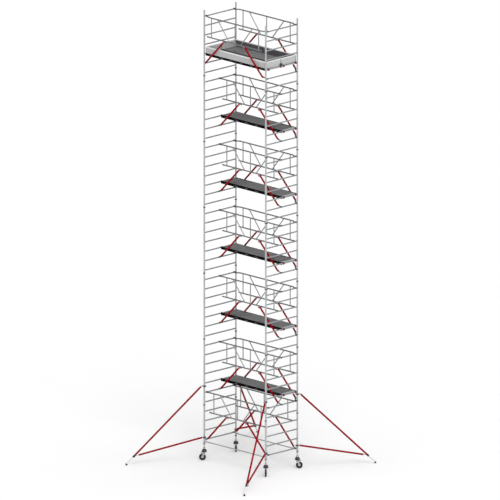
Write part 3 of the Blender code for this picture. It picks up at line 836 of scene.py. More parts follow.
def guardrail_mesh(name, rail_inward, foot_inward):
    """A guardrail unit in the plane y = 0: feet on a rung at z = 0, its inner side at -Y."""
    shape = Shape()
    half, top, knee = HALF_LENGTH, UNIT_HEIGHT, KNEE_Z
    rail = [Vector((HOOK_GRIP, -rail_inward, top))]
    if rail_inward:
        rail += [Vector((half - 0.060, -rail_inward, top)), Vector((half - BEND_LENGTH, 0, top))]
    mirrored = [Vector((-p.x, p.y, p.z)) for p in rail]
    # rails in the darkest copy of the aluminium, whose darker tone is painted shade
    shape.add(sweep(rounded(mirrored + rail[::-1], 0.045), circle(RAIL_RADIUS, 28)), SHADED_RAIL_METAL)
    knee_reach = half - KNEE_SHORT
    shape.add(sweep([(-knee_reach, 0, knee), (knee_reach, 0, knee)], circle(RAIL_RADIUS, 28)), SHADED_RAIL_METAL)
    # posts and diagonals in the darker copy of the aluminium, whose darker tone is painted shade
    shape.add_bar((0, 0, knee), (0, 0, top), BRACE_RADIUS, SHADED_RUNG_METAL)
    rail_welds(shape, 0, 0)
    plug = lathe([(0.010, -0.001), (RAIL_RADIUS + 0.0014, 0), (RAIL_RADIUS + 0.0014, 0.030),
                  (RAIL_RADIUS - 0.002, 0.0335)], 28)
    sleeve = rod(RAIL_SLEEVE, RAIL_RADIUS + 0.0022, 28, 0.002)
    for sign in (-1, 1):
        shape.add(plug, CAP_BLACK, place((sign * (knee_reach - 0.028), 0, knee), X * sign))
        post = sign * (half - POST_INSET)
        shape.add_bar((post, 0, knee), (post, 0, top), BRACE_RADIUS, SHADED_RUNG_METAL)
        upper, lower = (sign * (half - inset) for inset in DIAGONAL_INSETS)
        shape.add_bar((upper, 0, top), (lower, 0, knee), BRACE_RADIUS, SHADED_RUNG_METAL)
        rail_welds(shape, post, post)
        rail_welds(shape, upper, lower)
        guardrail_leg(shape, sign, foot_inward)
        guardrail_hook(shape, sign, -rail_inward, top)
        guardrail_hook(shape, sign, -foot_inward, 0)
        shape.add(sleeve, DARK_STEEL, place((sign * (HOOK_GRIP - 0.052), -rail_inward, top), X * sign))
    return shape.mesh(name)


def guardrails():
    """Straight units at the base and along the middle, cranked ones at the back and the top."""
    straight = guardrail_mesh("guardrail_straight", 0, 0)
    outer = guardrail_mesh("guardrail_cranked", HOOK_INWARD, FOOT_INWARD)
    rows = []
    for side, sign in SIDES.items():
        heading = 0 if sign > 0 else math.pi
        rows.append((f"guardrail_base_{side}", straight, rung_z(0, 1), heading))
        rows.append((f"guardrail_top_{side}", outer, rung_z(LEVELS, 2), heading))
    for level in range(1, LEVELS):
        rows.append((f"guardrail_{level}_middle", straight, rung_z(level, 2), math.pi))
        rows.append((f"guardrail_{level}_back", outer, rung_z(level, 2), 0))
    for node, mesh, z, heading in rows:
        out = -1 if heading else 1
        low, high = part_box(node)
        y = low.y + HOOK_HALF_WIDTH if out > 0 else high.y - HOOK_HALF_WIDTH
        if mesh is outer:
            y += out * HOOK_INWARD
        show(f"unit_{node}", mesh, "tower", [node], (0, y, z), heading)


# ---------------------------------------------------------------- platforms


def beam_outline():
    """The section of a side beam, its outer face at +Y, with a wide channel in that face."""
    inner, outer = DECK_HALF_WIDTH - SIDE_BEAM, DECK_HALF_WIDTH
    low, high = DECK_BOTTOM, DECK_TOP - DECK_STEP
    return [
        (inner, low), (outer - 0.002, low), (outer, low + 0.002), (outer, low + 0.012),
        (outer - 0.0035, low + 0.014), (outer - 0.0035, high - 0.024), (outer, high - 0.022),
        (outer, high - 0.014), (outer - 0.0025, high - 0.013), (outer - 0.0025, high - 0.010),
        (outer, high - 0.009), (outer, high - 0.002), (outer - 0.002, high), (inner, high),
    ]


def capsule(length, width):
    """The outline of a slot with round ends."""
    radius = width / 2
    outline = []
    for side, start in ((1, -90), (-1, 90)):
        outline += [(side * (length / 2 - radius) + x, y) for x, y in arc(radius, start, start + 180, 8)]
    return outline


def platform_hooks(shape):
    """Four hooks over the rungs, each with the red lever that locks it."""
    saddle = plate(hook_outline(DECK_HOOK_WALL), -DECK_HOOK_HALF_WIDTH, DECK_HOOK_HALF_WIDTH, 0.002)
    arm = block((-0.040, -0.0045, -0.018), (0.044, 0.0045, 0.009), 0.003)
    tab = block((-0.006, -0.082, -0.014), (0.006, 0.006, 0.014), 0.005, 3)
    pivot = rod(0.016, 0.005, 14, 0.001)
    for end in (-1, 1):
        for y in (-DECK_HOOK_Y, DECK_HOOK_Y):
            beside = y + DECK_HOOK_HALF_WIDTH + 0.006
            shape.add(saddle, DARK_STEEL, across_y(end * HALF_LENGTH, y, 0))
            shape.add(arm, RED, place((end * (HALF_LENGTH - 0.002), beside, -0.012)))
            shape.add(tab, RED, place((end * (HALF_LENGTH + 0.038), beside, -0.018)))
            shape.add(pivot, ZINC, place((end * (HALF_LENGTH - 0.030), beside - 0.008, -0.014), Y))


def deck_edge(shape, sign):
    """The beams along one side and at one end, with the slots and rivets of the side beam."""
    inner_x, inner_y = DECK_HALF_LENGTH - END_BEAM, DECK_HALF_WIDTH - SIDE_BEAM
    top = DECK_TOP - DECK_STEP
    side_beam = [(sign * y, z) for y, z in beam_outline()]
    shape.add(prism(side_beam, -DECK_HALF_LENGTH, DECK_HALF_LENGTH), BLACK_BEAM)
    low, high = sorted((sign * inner_x, sign * DECK_HALF_LENGTH))
    shape.add(block((low, -inner_y, DECK_BOTTOM), (high, inner_y, top), 0.003), BRIGHT_METAL)
    slot = plate(capsule(*SLOT_SIZE), 0, SLOT_PROUD, 0.0006, 1)
    slot_y = sign * (DECK_HALF_WIDTH - 0.0035 + (SLOT_PROUD if sign < 0 else 0))
    for number in range(SLOTS):
        x = (number - (SLOTS - 1) / 2) * SLOT_PITCH
        shape.add(slot, FITTING, across_y(x, slot_y, -0.012))
    rivet = lathe([(0.0045, 0), (0.0042, 0.0010), (0.0020, 0.0018)], 12)
    for number in range(RIVETS):
        x = (number - (RIVETS - 1) / 2) * RIVET_PITCH
        shape.add(rivet, ZINC, place((x, sign * (DECK_HALF_WIDTH - 0.014), top)))


def hatchway(shape, whole, x0, x1):
    """The panel round a hatch, the ledge that the hatch rests on, and the black trim."""
    y, ledge, edge = HATCH_Y, HATCH_LEDGE, HATCH_TRIM
    hole = (x0, -y, x1, y)
    shape.add(window(whole, hole, DECK_TOP - DECK_THICKNESS, DECK_TOP), DECK_GREY)
    inside = (x0 + ledge, ledge - y, x1 - ledge, y - ledge)
    shape.add(window(hole, inside, DECK_BOTTOM + 0.010, HATCH_LEDGE_TOP), BLACK_BEAM)
    trim_out = (x0 - edge, -y - edge, x1 + edge, y + edge)
    trim_in = (x0 + edge, edge - y, x1 - edge, y - edge)
    shape.add(window(trim_out, trim_in, HATCH_LEDGE_TOP, DECK_TOP + 0.0006), BLACK_BEAM)


def platform_mesh(name, hatch_end):
    """A platform whose rungs are at z = 0; its hatchway, if any, is at that end."""
    shape = Shape()
    inner_x, inner_y = DECK_HALF_LENGTH - END_BEAM, DECK_HALF_WIDTH - SIDE_BEAM
    for sign in (-1, 1):
        deck_edge(shape, sign)
    panel_low = DECK_TOP - DECK_THICKNESS
    beams = [number * UNDER_BEAM_PITCH for number in range(-2, 3)]
    if hatch_end:
        x0, x1 = sorted(hatch_end * x for x in HATCH_X)
        hatchway(shape, (-inner_x, -inner_y, inner_x, inner_y), x0, x1)
        beams = [x for x in beams if not x0 - 0.05 < x < x1 + 0.05]
    else:
        shape.add(block((-inner_x, -inner_y, panel_low), (inner_x, inner_y, DECK_TOP), 0.001, 1), DECK_GREY)
    half = UNDER_BEAM_HALF_WIDTH
    low, high = DECK_BOTTOM + 0.004, panel_low - SEAM
    for x in beams:
        shape.add(block((x - half, -inner_y, low), (x + half, inner_y, high), 0.002), SHADED_RUNG_METAL)
    platform_hooks(shape)
    return shape.mesh(name)


def hatch_mesh():
    """A hatch that lies along -Y from its hinge, with two strap hinges and a sunk grip."""
    shape = Shape()
    half_length = (HATCH_X[1] - HATCH_X[0]) / 2 - HATCH_CLEARANCE
    reach = 2 * (HATCH_Y - HATCH_CLEARANCE) - HATCH_HALF_THICKNESS
    thick = HATCH_HALF_THICKNESS
    leaf = block((-half_length, -reach, -thick), (half_length, -0.0085, thick - 0.001), 0.0015)
    shape.add(leaf, HATCH_GREY)
    knuckle = rod(0.060, thick - 0.0003, 20, 0.001)
    rivet = lathe([(0.005, 0), (0.0045, 0.0010), (0.002, 0.0017)], 12)
    for x in (-HATCH_STRAP_X, HATCH_STRAP_X):
        strap = block((x - 0.020, -0.085, thick - 0.0012), (x + 0.020, -0.006, thick + 0.0006), 0.0006, 1)
        shape.add(strap, ZINC)
        shape.add(knuckle, ZINC, place((x - 0.030, 0, 0), X))
        for y in (-0.030, -0.065):
            shape.add(rivet, DARK_STEEL, place((x, y, thick + 0.0005)))
    hinge_rod = rod(2 * half_length - 0.010, thick - 0.002, 20, 0.001)
    shape.add(hinge_rod, DARK_STEEL, place((0.005 - half_length, 0, 0), X))
    grip_out = (-0.060, -reach + 0.030, 0.060, -reach + 0.075)
    grip_in = (-0.048, -reach + 0.040, 0.048, -reach + 0.065)
    shape.add(window(grip_out, grip_in, thick - 0.0015, thick + 0.0008), CAP_BLACK)
    well = block((-0.050, -reach + 0.038, thick - 0.004), (0.050, -reach + 0.067, thick - 0.0006), 0.001, 1)
    shape.add(well, DARK_STEEL)
    return shape.mesh("hatch")


def platforms():
    """A platform at each level, two at the top, each hatch on its hinge."""
    plain = platform_mesh("platform_plain", 0)
    right = platform_mesh("platform_hatch_right", 1)
    left = platform_mesh("platform_hatch_left", -1)
    rows = [(f"platform_{level}", right if level % 2 else left, level) for level in range(1, LEVELS)]
    rows += [("platform_top_back", left, LEVELS), ("platform_top_front", plain, LEVELS)]
    for node, mesh, level in rows:
        low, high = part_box(node)
        show(f"deck_{node}", mesh, "tower", [node], (0, (low.y + high.y) / 2, rung_z(level, 3)))
    hatch = hatch_mesh()
    for label in [str(level) for level in range(1, LEVELS)] + ["top"]:
        node = f"hatch_{label}"
        hinge = JOINTS[f"{node}_hinge"]["pos_m"]
        show(f"leaf_{node}", hatch, node, [node], hinge)


# ---------------------------------------------------------------- toe boards


def board_joint(shape, half, height):
    """The fittings that hook the two halves of an end board together in its middle."""
    clip = block((-0.055, -half - 0.005, 0.001), (0.055, -half + 0.001, 0.052), 0.0015)
    shape.add(clip, CAP_BLACK)
    strap = block((-0.009, -half - 0.003, 0.050), (0.009, -half + 0.0005, height - 0.012), 0.001, 1)
    shape.add(strap, CAP_BLACK)
    inner = block((-0.012, half - 0.001, 0.001), (0.012, half + 0.003, height - 0.030), 0.001, 1)
    shape.add(inner, FITTING)


def toe_board_mesh(name, half_length, split):
    """A toe board along X with its outer face at -Y, its foot at z = 0."""
    shape = Shape()
    height = TOE_TOP - TOE_BOTTOM
    half = TOE_THICKNESS / 2
    # the long boards' dark inner face is painted shade over a film face; the end boards are light on both
    # sides
    inside = BOARD_FACE if split else SHADED_BOARD_INSIDE
    spans = [(-half_length, half_length)]
    if split:
        spans = [(-half_length, -TOE_HALF_GAP), (TOE_HALF_GAP, half_length)]
    brim = half + 0.0015
    lip = [
        (-brim, height - 0.026), (-brim, height - 0.002), (-half + 0.001, height),
        (half - 0.001, height), (brim, height - 0.002), (brim, height - 0.026),
        (half, height - 0.026), (half, height - 0.0095), (-half, height - 0.0095), (-half, height - 0.026),
    ]
    for low, high in spans:
        face = block((low, -half, 0), (high, -half + TOE_SKIN, height - 0.010), 0.001, 1)
        shape.add(face, BOARD_FACE)
        back = block((low, -half + TOE_SKIN + 0.0002, 0), (high, half, height - 0.010), 0.001, 1)
        shape.add(back, inside)
        shape.add(prism(lip, low, high), BOARD_LIP)
    if split:
        board_joint(shape, half, height)
    return shape.mesh(name)


def toe_boards():
    """Two long boards, and two end boards that each hook together in their middle."""
    low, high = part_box("toe_boards")
    base = low.z
    x_middle = high.x - TOE_THICKNESS / 2
    y_middle = high.y - TOE_THICKNESS / 2
    long_board = toe_board_mesh("toe_board_long", high.x, False)
    end_board = toe_board_mesh("toe_board_end", high.y - TOE_THICKNESS - SEAM, True)
    rows = [
        ("front", long_board, (0, -y_middle, base), 0),
        ("back", long_board, (0, y_middle, base), math.pi),
        ("right", end_board, (x_middle, 0, base), math.pi / 2),
        ("left", end_board, (-x_middle, 0, base), -math.pi / 2),
    ]
    for side, mesh, spot, heading in rows:
        show(f"toe_board_{side}", mesh, "tower", ["toe_boards"], spot, heading)


# ---------------------------------------------------------------- base braces and stabilisers


def claw_outline():
    """A C that springs onto an upright, open towards +X."""
    bore = UPRIGHT_RADIUS + PLAY
    tips = (CLAW_MOUTH, 360 - CLAW_MOUTH)
    return arc(bore + CLAW_WALL, *tips, 22) + arc(bore, *tips[::-1], 22)


def brace_mesh():
    """A brace along X between two uprights, with a spring claw at each end."""
    shape = Shape()
    reach = HALF_LENGTH - UPRIGHT_RADIUS - 0.006
    shape.add(sweep([(-reach, 0, 0), (reach, 0, 0)], circle(BASE_BRACE_RADIUS, 28)), ALUMINIUM)
    sleeve = rod(0.042, BASE_BRACE_RADIUS + 0.002, 28, 0.002)
    lever_path = rounded([(0, 0, 0.018), (-0.030, 0, 0.032), (-0.070, 0, 0.026)], 0.012, 4)
    lever = sweep(lever_path, circle(0.004, 12))
    for sign in (-1, 1):
        claw = plate([(sign * x, y) for x, y in claw_outline()], -0.020, 0.020, 0.0015)
        shape.add(claw, ALUMINIUM, place((sign * HALF_LENGTH, 0, 0)))
        shape.add(sleeve, ALUMINIUM, place((sign * (reach - 0.040), 0, 0), X * sign))
        shape.add(lever, DARK_STEEL, place((sign * (reach - 0.004), 0, 0), Z, X * sign))
    return shape.mesh("base_brace")


def along_arm(share):
    """A point on the stabiliser's axis, at a share of the way from its top to its foot."""
    (u0, z0), (u1, z1) = ARM_TOP, ARM_FOOT
    return Vector((u0 + share * (u1 - u0), 0, z0 + share * (z1 - z0)))


def arm_axis():
    """The stabiliser's whole axis, from its top to its foot."""
    return along_arm(1) - along_arm(0)


def clamp(shape, z, lug_reach):
    """A half coupler round the upright, with its bolt, wing nut and the lug it carries."""
    bore = UPRIGHT_RADIUS + PLAY
    half, radius = CLAMP_HALF_HEIGHT, CLAMP_RADIUS
    ring = [
        (bore, 0.001 - half), (radius - 0.002, -half), (radius, 0.002 - half), (radius, -0.010),
        (radius - 0.003, -0.007), (radius - 0.003, 0.007), (radius, 0.010), (radius, half - 0.002),
        (radius - 0.002, half), (bore, half - 0.001),
    ]
    shape.add(lathe(ring, 36, loop=True), DARK_STEEL, place((0, 0, z)))
    for middle in (-0.009, 0.009):
        cheek = block((0.030, middle - 0.003, z - 0.020), (lug_reach, middle + 0.003, z + 0.020), 0.002)
        shape.add(cheek, ALUMINIUM)
    shape.add(pin(-0.020, 0.020, 0.008, 0.004, 18), ZINC, place((lug_reach - 0.012, 0, z), Y))
    shape.add(block((-0.058, -0.009, z - 0.012), (-0.030, 0.009, z + 0.012), 0.002), DARK_STEEL)
    shape.add(pin(-0.030, 0.035, 0.005, 0.003, 16), ZINC, place((CLAMP_SCREW_X, 0, z), Y))
    for way in (-1, 1):
        wing = [(0.004, -0.006), (0.030, -0.004), (0.034, 0.006), (0.024, 0.010), (0.004, 0.006)]
        wing = plate([(way * x, y) for x, y in wing], -0.002, 0.002, 0.001, 1)
        shape.add(wing, DARK_STEEL, place((CLAMP_SCREW_X, 0.030, z), X, Z))


def stabiliser_mesh():
    """The arm of a stabiliser that reaches out along +X from the upright at x = y = 0."""
    shape = Shape()
    clamp(shape, UPPER_CLAMP_Z, ARM_TOP[0] + 0.006)
    clamp(shape, LOWER_CLAMP_Z, STRUT_START + 0.010)
    down = arm_axis().normalized()
    start, end = along_arm(0.004), along_arm(ARM_SHARE)
    shape.add(pipe(0, (end - start).length, ARM_RADIUS, ARM_BORE, 40), RED, place(start, down))
    rim = ARM_RADIUS + 0.0008
    plug = [(0.0125, -0.003), (ARM_RADIUS - 0.001, 0), (rim, 0.004), (rim, 0.022), (ARM_RADIUS, 0.024)]
    shape.add(lathe(plug, 36), DARK_STEEL, place(start - down * 0.004, down))
    collar_top = ARM_SHARE - COLLAR_LENGTH / arm_axis().length
    collar = pipe(0, COLLAR_LENGTH, COLLAR_RADIUS, ARM_BORE, 36, 0.002)
    shape.add(collar, DARK_STEEL, place(along_arm(collar_top), down))
    collar_middle = along_arm((collar_top + ARM_SHARE) / 2)
    knob = lathe([(0.004, 0.020), (0.005, 0.046), (0.014, 0.050), (0.016, 0.062), (0.010, 0.068)], 14)
    shape.add(knob, CAP_BLACK, place(collar_middle, Y))
    arm_strut(shape, collar_middle)
    return shape.mesh("stabiliser")


def arm_strut(shape, end):
    """The lower strut: a red tube, and the light rod that it slides on, up to the collar."""
    start = Vector((STRUT_START, 0, LOWER_CLAMP_Z))
    out = (end - start).normalized()
    length = (end - start).length
    shape.add(rod(length, STRUT_ROD_RADIUS, 20), ALUMINIUM, place(start, out))
    red_start, red_end = 0.004, length - STRUT_ROD_SHOWN
    tube = pipe(0, red_end - red_start, ARM_STRUT_RADIUS, STRUT_ROD_RADIUS + 0.0005, 32)
    shape.add(tube, RED, place(start + out * red_start, out))
    plug = rod(0.022, ARM_STRUT_RADIUS + 0.0012, 28, 0.002)
    for run in (red_start - 0.004, red_end - 0.018):
        shape.add(plug, DARK_STEEL, place(start + out * run, out))
    eye = block((-0.018, -0.026, -0.012), (0.018, 0.026, 0.012), 0.003)
    shape.add(eye, DARK_STEEL, place(end - out * 0.020, out, Z))


def stabiliser_foot_mesh():
    """The telescoping tube, with its locking holes, and its swivelling rubber foot."""
    shape = Shape()
    start = along_arm(INNER_TOP_SHARE)
    length = (along_arm(1) - start).length
    down = arm_axis().normalized()
    shape.add(rod(length, INNER_RADIUS, 36), BRIGHT_METAL, place(start, down))
    hole = lathe([(0.0045, INNER_RADIUS - 0.003), (0.0045, INNER_RADIUS + 0.0001)], 14)
    for number in range(LOCK_HOLES):
        run = length - LAST_LOCK_HOLE - number * LOCK_HOLE_PITCH
        for side in (-1, 1):
            shape.add(hole, DARK_STEEL, place(start + down * run, Y * side))
    ball = lathe([(0.010, 0.030), (0.020, 0.038), (0.022, 0.048), (0.018, 0.058), (0.008, 0.063)], 28)
    foot = place((ARM_FOOT[0], 0, 0))
    shape.add(ball, DARK_STEEL, foot)
    radius = FOOT_RADIUS
    pad = [
        (radius - 0.005, 0), (radius, 0.003), (radius, 0.012), (radius - 0.002, 0.014),
        (radius - 0.002, 0.018), (radius - 0.001, 0.021), (radius - 0.006, 0.036),
        (0.021, FOOT_HEIGHT - 0.006), (0.018, FOOT_HEIGHT),
    ]
    shape.add(lathe(pad, 36), FOOT_RUBBER, foot)
    return shape.mesh("stabiliser_foot")


# ---------------------------------------------------------------- legs and castors


def thread(low, high, radius, sides=28):
    """A right hand screw thread round a bar."""
    rows = round((high - low) / (THREAD_PITCH / 4))
    points = []
    for row in range(rows + 1):
        z = low + (high - low) * row / rows
        for side, turn in enumerate(turns(sides)):
            phase = ((z - low) / THREAD_PITCH - side / sides) % 1.0
            reach = radius - THREAD_DEPTH * abs(2 * phase - 1) ** 1.4
            points.append(Vector((*on_circle(reach, turn), z)))
    return points, ring_faces(rows + 1, sides, False), grain_up(points)


def leg_mesh():
    """The threaded leg, its flange and the king pin that the castor turns on."""
    shape = Shape()
    low, high = FLANGE_Z
    shape.add(thread(high + 0.010, SPINDLE_TOP, SPINDLE_RADIUS), ZINC)
    neck = [
        (0.012, low + 0.002), (FLANGE_RADIUS - 0.002, low), (FLANGE_RADIUS, low + 0.002),
        (FLANGE_RADIUS, high - 0.005), (FLANGE_RADIUS - 0.003, high - 0.002), (0.023, high),
        (SPINDLE_RADIUS - 0.001, high + 0.002), (SPINDLE_RADIUS - 0.003, high + 0.014),
    ]
    shape.add(lathe(neck, 36), ZINC)
    king_pin = rod(low - KING_PIN_BOTTOM + 0.004, KING_PIN_RADIUS, 24)
    shape.add(king_pin, ZINC, place((0, 0, KING_PIN_BOTTOM)))
    return shape.mesh("spindle")


def nut_mesh():
    """The winged nut that the base frame stands on."""
    shape = Shape()
    low, high = NUT_Z
    bore = SPINDLE_RADIUS + PLAY
    body = [
        (bore, low + 0.001), (0.028, low), (0.031, low + 0.003), (0.031, low + 0.012),
        (0.0285, low + 0.016), (0.0285, high - 0.012), (0.031, high - 0.008),
        (0.031, high - 0.002), (0.029, high), (bore, high - 0.001),
    ]
    shape.add(lathe(body, 32, loop=True), FITTING)
    wing = [(0.026, -0.010), (0.034, -0.007), (0.037, 0.0), (0.034, 0.007), (0.026, 0.010)]
    lug = plate(wing, low + 0.004, low + 0.020, 0.003)
    for turn in turns(4):
        shape.add(lug, FITTING, Matrix.Rotation(turn + 0.5, 4, "Z"))
    return shape.mesh("hand_nut")


def fork_mesh():
    """A castor fork with its brake cap, its axle trailing along +X."""
    shape = Shape()
    low, high = CROWN_Z
    outside = FORK_HALF_GAP + CHEEK_THICKNESS
    head = [
        (0.013, low + 0.003), (HEAD_RADIUS + 0.008, low + 0.003), (HEAD_RADIUS + 0.008, high + 0.004),
        (HEAD_RADIUS, high + 0.008), (HEAD_RADIUS, 0.285), (HEAD_RADIUS - 0.004, 0.292),
        (HEAD_RADIUS - 0.004, 0.345), (HEAD_RADIUS, 0.350), (HEAD_RADIUS, 0.368),
        (HEAD_RADIUS - 0.003, 0.374), (0.013, 0.374),
    ]
    shape.add(lathe(head, 36, loop=True), ZINC)
    cap = [
        (0.020, 0.345), (0.038, 0.3442), (0.047, 0.3395), (0.056, 0.3300), (0.064, 0.3165),
        (0.0705, 0.2990), (0.0755, 0.2810), (CAP_RADIUS, 0.2680), (CAP_RADIUS, 0.2605),
        (CAP_RADIUS - 0.0015, 0.2585), (CAP_RADIUS - 0.004, 0.2585), (CAP_RADIUS - 0.005, 0.2605),
        (0.068, 0.2880), (0.058, 0.3130), (0.040, 0.3320), (0.020, 0.3330),
    ]
    shape.add(lathe(cap, 44, loop=True), CAP_BLACK)
    nose = CASTOR_TRAIL + 0.006
    crown = [
        (-0.028, -outside), (nose - 0.010, -outside), (nose, -outside + 0.010),
        (nose, outside - 0.010), (nose - 0.010, outside), (-0.028, outside),
    ]
    shape.add(plate(crown, low, high - 0.004, 0.003), ZINC)
    for side in (-1, 1):
        fork_side(shape, side)
    shape.add(rod(2 * outside, 0.0078, 20), ZINC, place((CASTOR_TRAIL, -outside, WHEEL_RADIUS), Y))
    shape.add(rod(0.056, 0.0048, 16), ZINC, place((PEDAL_PIVOT[0], -0.028, PEDAL_PIVOT[1]), Y))
    return shape.mesh("castor_fork")


def fork_side(shape, side):
    """A cheek with a swept back edge, its axle nut, and a lug of the pedal's pin."""
    low, high = CROWN_Z
    trail = CASTOR_TRAIL
    cheek = [(trail + x, WHEEL_RADIUS + z) for x, z in arc(AXLE_EYE_RADIUS, -170, 10, 9)]
    cheek += [
        (trail + 0.010, 0.150), (trail - 0.006, high - 0.006), (-0.027, high - 0.006),
        (-0.027, low - 0.014), (trail - 0.034, 0.150),
    ]
    half = CHEEK_THICKNESS / 2
    shape.add(plate(cheek, -half, half, 0.0015), ZINC, across_y(0, side * (FORK_HALF_GAP + half), 0))
    u, z = PEDAL_PIVOT
    y = side * 0.023
    lug = block((u - 0.009, y - 0.003, high - 0.008), (u + 0.009, y + 0.003, z + 0.010), 0.002)
    shape.add(lug, ZINC)
    rim = side * (FORK_HALF_GAP + CHEEK_THICKNESS)
    nut = lathe([(0.009, 0), (0.0125, 0.0015), (0.0125, 0.008), (0.010, 0.0095)], 6)
    shape.add(nut, ZINC, place((trail, rim - side * 0.001, WHEEL_RADIUS), Y * side, Z))
    washer = rod(0.002, 0.016, 24, 0.0005)
    shape.add(washer, ZINC, place((trail, rim - side * 0.0005, WHEEL_RADIUS), Y * side))


def wheel_mesh():
    """Tyre and hub about the wheel's own axis, which is Y."""
    shape = Shape()
    half, outer = WHEEL_HALF_WIDTH, WHEEL_RADIUS
    upright = place((0, 0, 0), Y, Z)
    tyre = [
        (0.071, 0.0), (0.071, 0.016), (0.0735, half - 0.001), (0.0775, half), (0.089, half - 0.0005),
        (0.0945, half - 0.003), (0.0985, half - 0.0085), (outer - 0.0001, 0.010), (outer, 0.0),
    ]
    shape.add(lathe(both_sides(tyre), 56, loop=True), TYRE, upright)
    web = [
        (0.034, 0.018), (0.038, 0.0085), (0.058, 0.0085), (0.064, 0.015), (0.0655, 0.019),
        (0.0705, 0.019), (0.0715, 0.0),
    ]
    shape.add(lathe(both_sides(web), 48, loop=True), CAP_BLACK, upright)
    hub = [
        (0.0095, 0.029), (0.024, 0.029), (0.0285, 0.0265), (0.0335, 0.0235), (0.0355, 0.0195),
        (0.0355, 0.0),
    ]
    shape.add(lathe(both_sides(hub), 40, loop=True), HUB_GREY, upright)
    rib = block((0.034, -0.0025, 0.004), (0.066, 0.0025, 0.0165), 0.0012, 1)
    for turn in turns(WHEEL_RIBS):
        for flip in (0, math.pi):
            turned = Matrix.Rotation(turn, 4, "Z") @ Matrix.Rotation(flip, 4, "X")
            shape.add(rib, CAP_BLACK, upright @ turned)
    seal = lathe([(0.0095, 0.027), (0.0095, 0.0296), (0.0165, 0.0296), (0.0175, 0.0285)], 28, loop=True)
    for way in (-1, 1):
        shape.add(seal, CAP_BLACK, place((0, 0, 0), Y * way, Z))
    return shape.mesh("wheel")


def pedal_mesh():
    """The brake pedal about its pin: barrel, ribbed tread along +X, and the brake shoe."""
    shape = Shape()
    width = PEDAL_HALF_WIDTH
    barrel = [
        (0.0053, -width), (0.010, -width), (0.011, 0.001 - width), (0.011, width - 0.001),
        (0.010, width), (0.0053, width),
    ]
    shape.add(lathe(barrel, 24, loop=True), ZINC, place((0, 0, 0), Y))
    tread = [
        (0.008, -width), (0.056, -width), (0.062, -0.012), (0.062, 0.012), (0.056, width), (0.008, width),
    ]
    shape.add(plate(tread, -0.004, 0.003, 0.0015), ZINC)
    for number in range(4):
        x = 0.028 + number * 0.009
        shape.add(block((x, -0.014, 0.0022), (x + 0.004, 0.014, 0.0050), 0.001, 1), CAP_BLACK)
    shoe = [(0.036, -0.017), (0.056, -0.017), (0.056, 0.017), (0.036, 0.017)]
    shape.add(plate(shoe, -0.032, -0.003, 0.0015), DARK_STEEL)
    return shape.mesh("brake_pedal")


def corner_pieces():
    """A leg, its nut, a castor with its wheel and pedal, and a stabiliser at each corner."""
    leg, nut, fork, wheel = leg_mesh(), nut_mesh(), fork_mesh(), wheel_mesh()
    pedal, arm, foot = pedal_mesh(), stabiliser_mesh(), stabiliser_foot_mesh()
    for corner, (sx, sy) in CORNERS.items():
        spot = (sx * HALF_LENGTH, sy * HALF_WIDTH, 0)
        axle = JOINTS[f"wheel_spin_{corner}"]["pos_m"]
        pivot = JOINTS[f"brake_pedal_{corner}_press"]["pos_m"]
        base_frame = f"base_frame_{'left' if sx < 0 else 'right'}"
        castor = math.atan2(sy, sx)
        outwards = math.atan2(sy * math.sin(STABILISER_HEADING), sx * math.cos(STABILISER_HEADING))
        show(f"spindle_{corner}", leg, f"leg_{corner}", [f"leg_{corner}"], spot)
        show(f"hand_nut_{corner}", nut, "tower", [base_frame], spot)
        rows = [
            ("fork", fork, "castor_fork", "dark_steel", spot, castor),
            ("tyre_and_hub", wheel, "wheel", "black_rubber", axle, castor),
            ("pedal", pedal, "brake_pedal", "dark_steel", pivot, castor),
            ("arm", arm, "stabiliser", "red_coating", spot, outwards),
            ("foot", foot, "stabiliser_leg", "aluminium", spot, outwards),
        ]
        for label, mesh, part, slot, where, heading in rows:
            node = f"{part}_{corner}"
            show(f"{label}_{corner}", mesh, node, [node], where, heading)


def base_braces():
    brace = brace_mesh()
    for side, sign in SIDES.items():
        node = f"base_brace_{side}"
        low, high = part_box(node)
        spot = (0, sign * HALF_WIDTH, (low.z + high.z) / 2)
        show(f"brace_{side}", brace, "tower", [node], spot)


# ---------------------------------------------------------------- floor, light and camera

FLOOR_HALF = 90.0  # more than the camera sees of it
BACKDROP_WHITE = 1.05
CAMERA_AZIMUTH = math.radians(45.5)
CAMERA_ELEVATION = math.radians(14.87)
CAMERA_DISTANCE = 30.0
CAMERA_FAR = 400.0
CAMERA_AIM_Z = 6.503
CAMERA_AIM_LEFT = 0.025
CAMERA_WIDTH = 14.676


def stage_floor():
    """A plain pale floor, large enough to fill the view behind the tower."""
    mesh = bpy.data.meshes.new("floor")
    corners = [(-1, -1), (1, -1), (1, 1), (-1, 1)]
    mesh.from_pydata([(x * FLOOR_HALF, y * FLOOR_HALF, 0) for x, y in corners], [], [(0, 1, 2, 3)])
    look = Look("floor", (0.90, 0.90, 0.90), 0.0, 0.90)
    spot = look.add("TexCoord").outputs["Object"]
    cloud = look.noise(spot, 0.5, 3.0)
    look.set("Base Color", look.blend(cloud, (0.885, 0.885, 0.885), (0.915, 0.915, 0.915)))
    mesh.materials.append(look.material)
    floor = bpy.data.objects.new("floor", mesh)
    bpy.context.scene.collection.objects.link(floor)


def sun(name, towards, energy, spread):
    """A soft sun that shines from a point in the direction given."""
    light = bpy.data.lights.new(name, "SUN")
    light.energy = energy
    light.angle = math.radians(spread)
    lamp = bpy.data.objects.new(name, light)
    lamp.rotation_euler = Vector(towards).to_track_quat("Z", "Y").to_euler()
    bpy.context.scene.collection.objects.link(lamp)


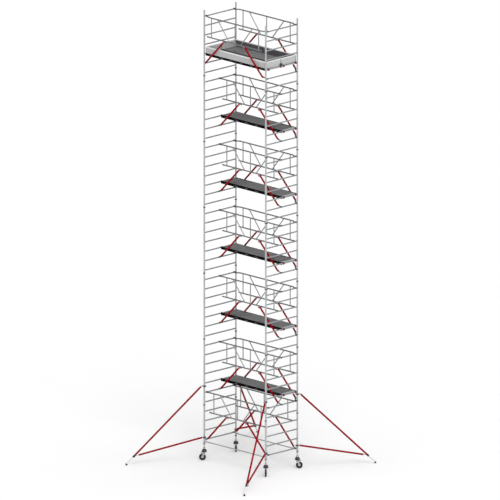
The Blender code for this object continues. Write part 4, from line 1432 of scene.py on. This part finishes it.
def studio_light():
    """An even pale sky that is darker towards -X, so rails along X read darker than uprights."""
    world = bpy.data.worlds.new("studio")
    bpy.context.scene.world = world
    world.use_nodes = True
    tree = world.node_tree
    back = tree.nodes["Background"]
    where = tree.nodes.new("ShaderNodeTexCoord")
    split = tree.nodes.new("ShaderNodeSeparateXYZ")
    tree.links.new(where.outputs["Generated"], split.inputs["Vector"])
    ramp = tree.nodes.new("ShaderNodeMapRange")
    tree.links.new(split.outputs["X"], ramp.inputs["Value"])
    for key, value in (("From Min", -0.8), ("From Max", 0.6), ("To Min", 0.36), ("To Max", 1.12)):
        ramp.inputs[key].default_value = value
    # behind the floor's far edge the view meets a plain white, so no horizon shows from low down
    seen = tree.nodes.new("ShaderNodeLightPath")
    mix = tree.nodes.new("ShaderNodeMix")
    tree.links.new(seen.outputs["Is Camera Ray"], mix.inputs["Factor"])
    tree.links.new(ramp.outputs["Result"], mix.inputs["A"])
    mix.inputs["B"].default_value = BACKDROP_WHITE
    tree.links.new(mix.outputs["Result"], back.inputs["Strength"])
    back.inputs["Color"].default_value = (1.0, 1.0, 1.0, 1)
    sun("key", (0.55, -0.35, 0.75), 1.25, 40)
    sun("fill", (-0.30, -0.45, 0.85), 0.25, 60)


def camera():
    """Looks at the tower from its front right and a little above, without perspective."""
    data = bpy.data.cameras.new("camera")
    data.type = "ORTHO"
    data.ortho_scale = CAMERA_WIDTH
    data.clip_end = CAMERA_FAR
    eye = bpy.data.objects.new("camera", data)
    bpy.context.scene.collection.objects.link(eye)
    right = Vector((*on_circle(1.0, CAMERA_AZIMUTH), 0))
    back = right.cross(Z) * math.cos(CAMERA_ELEVATION) + Z * math.sin(CAMERA_ELEVATION)
    aim = Z * CAMERA_AIM_Z - right * CAMERA_AIM_LEFT
    eye.location = aim + back * CAMERA_DISTANCE
    eye.rotation_euler = back.to_track_quat("Z", "Y").to_euler()
    bpy.context.scene.camera = eye


camera()
end_frames()
guardrails()
platforms()
toe_boards()
base_braces()
corner_pieces()
stage_floor()
studio_light()
bpy.context.scene.view_settings.view_transform = "Standard"


def plain(bounds):
    return [[float(value) for value in corner] for corner in bounds]
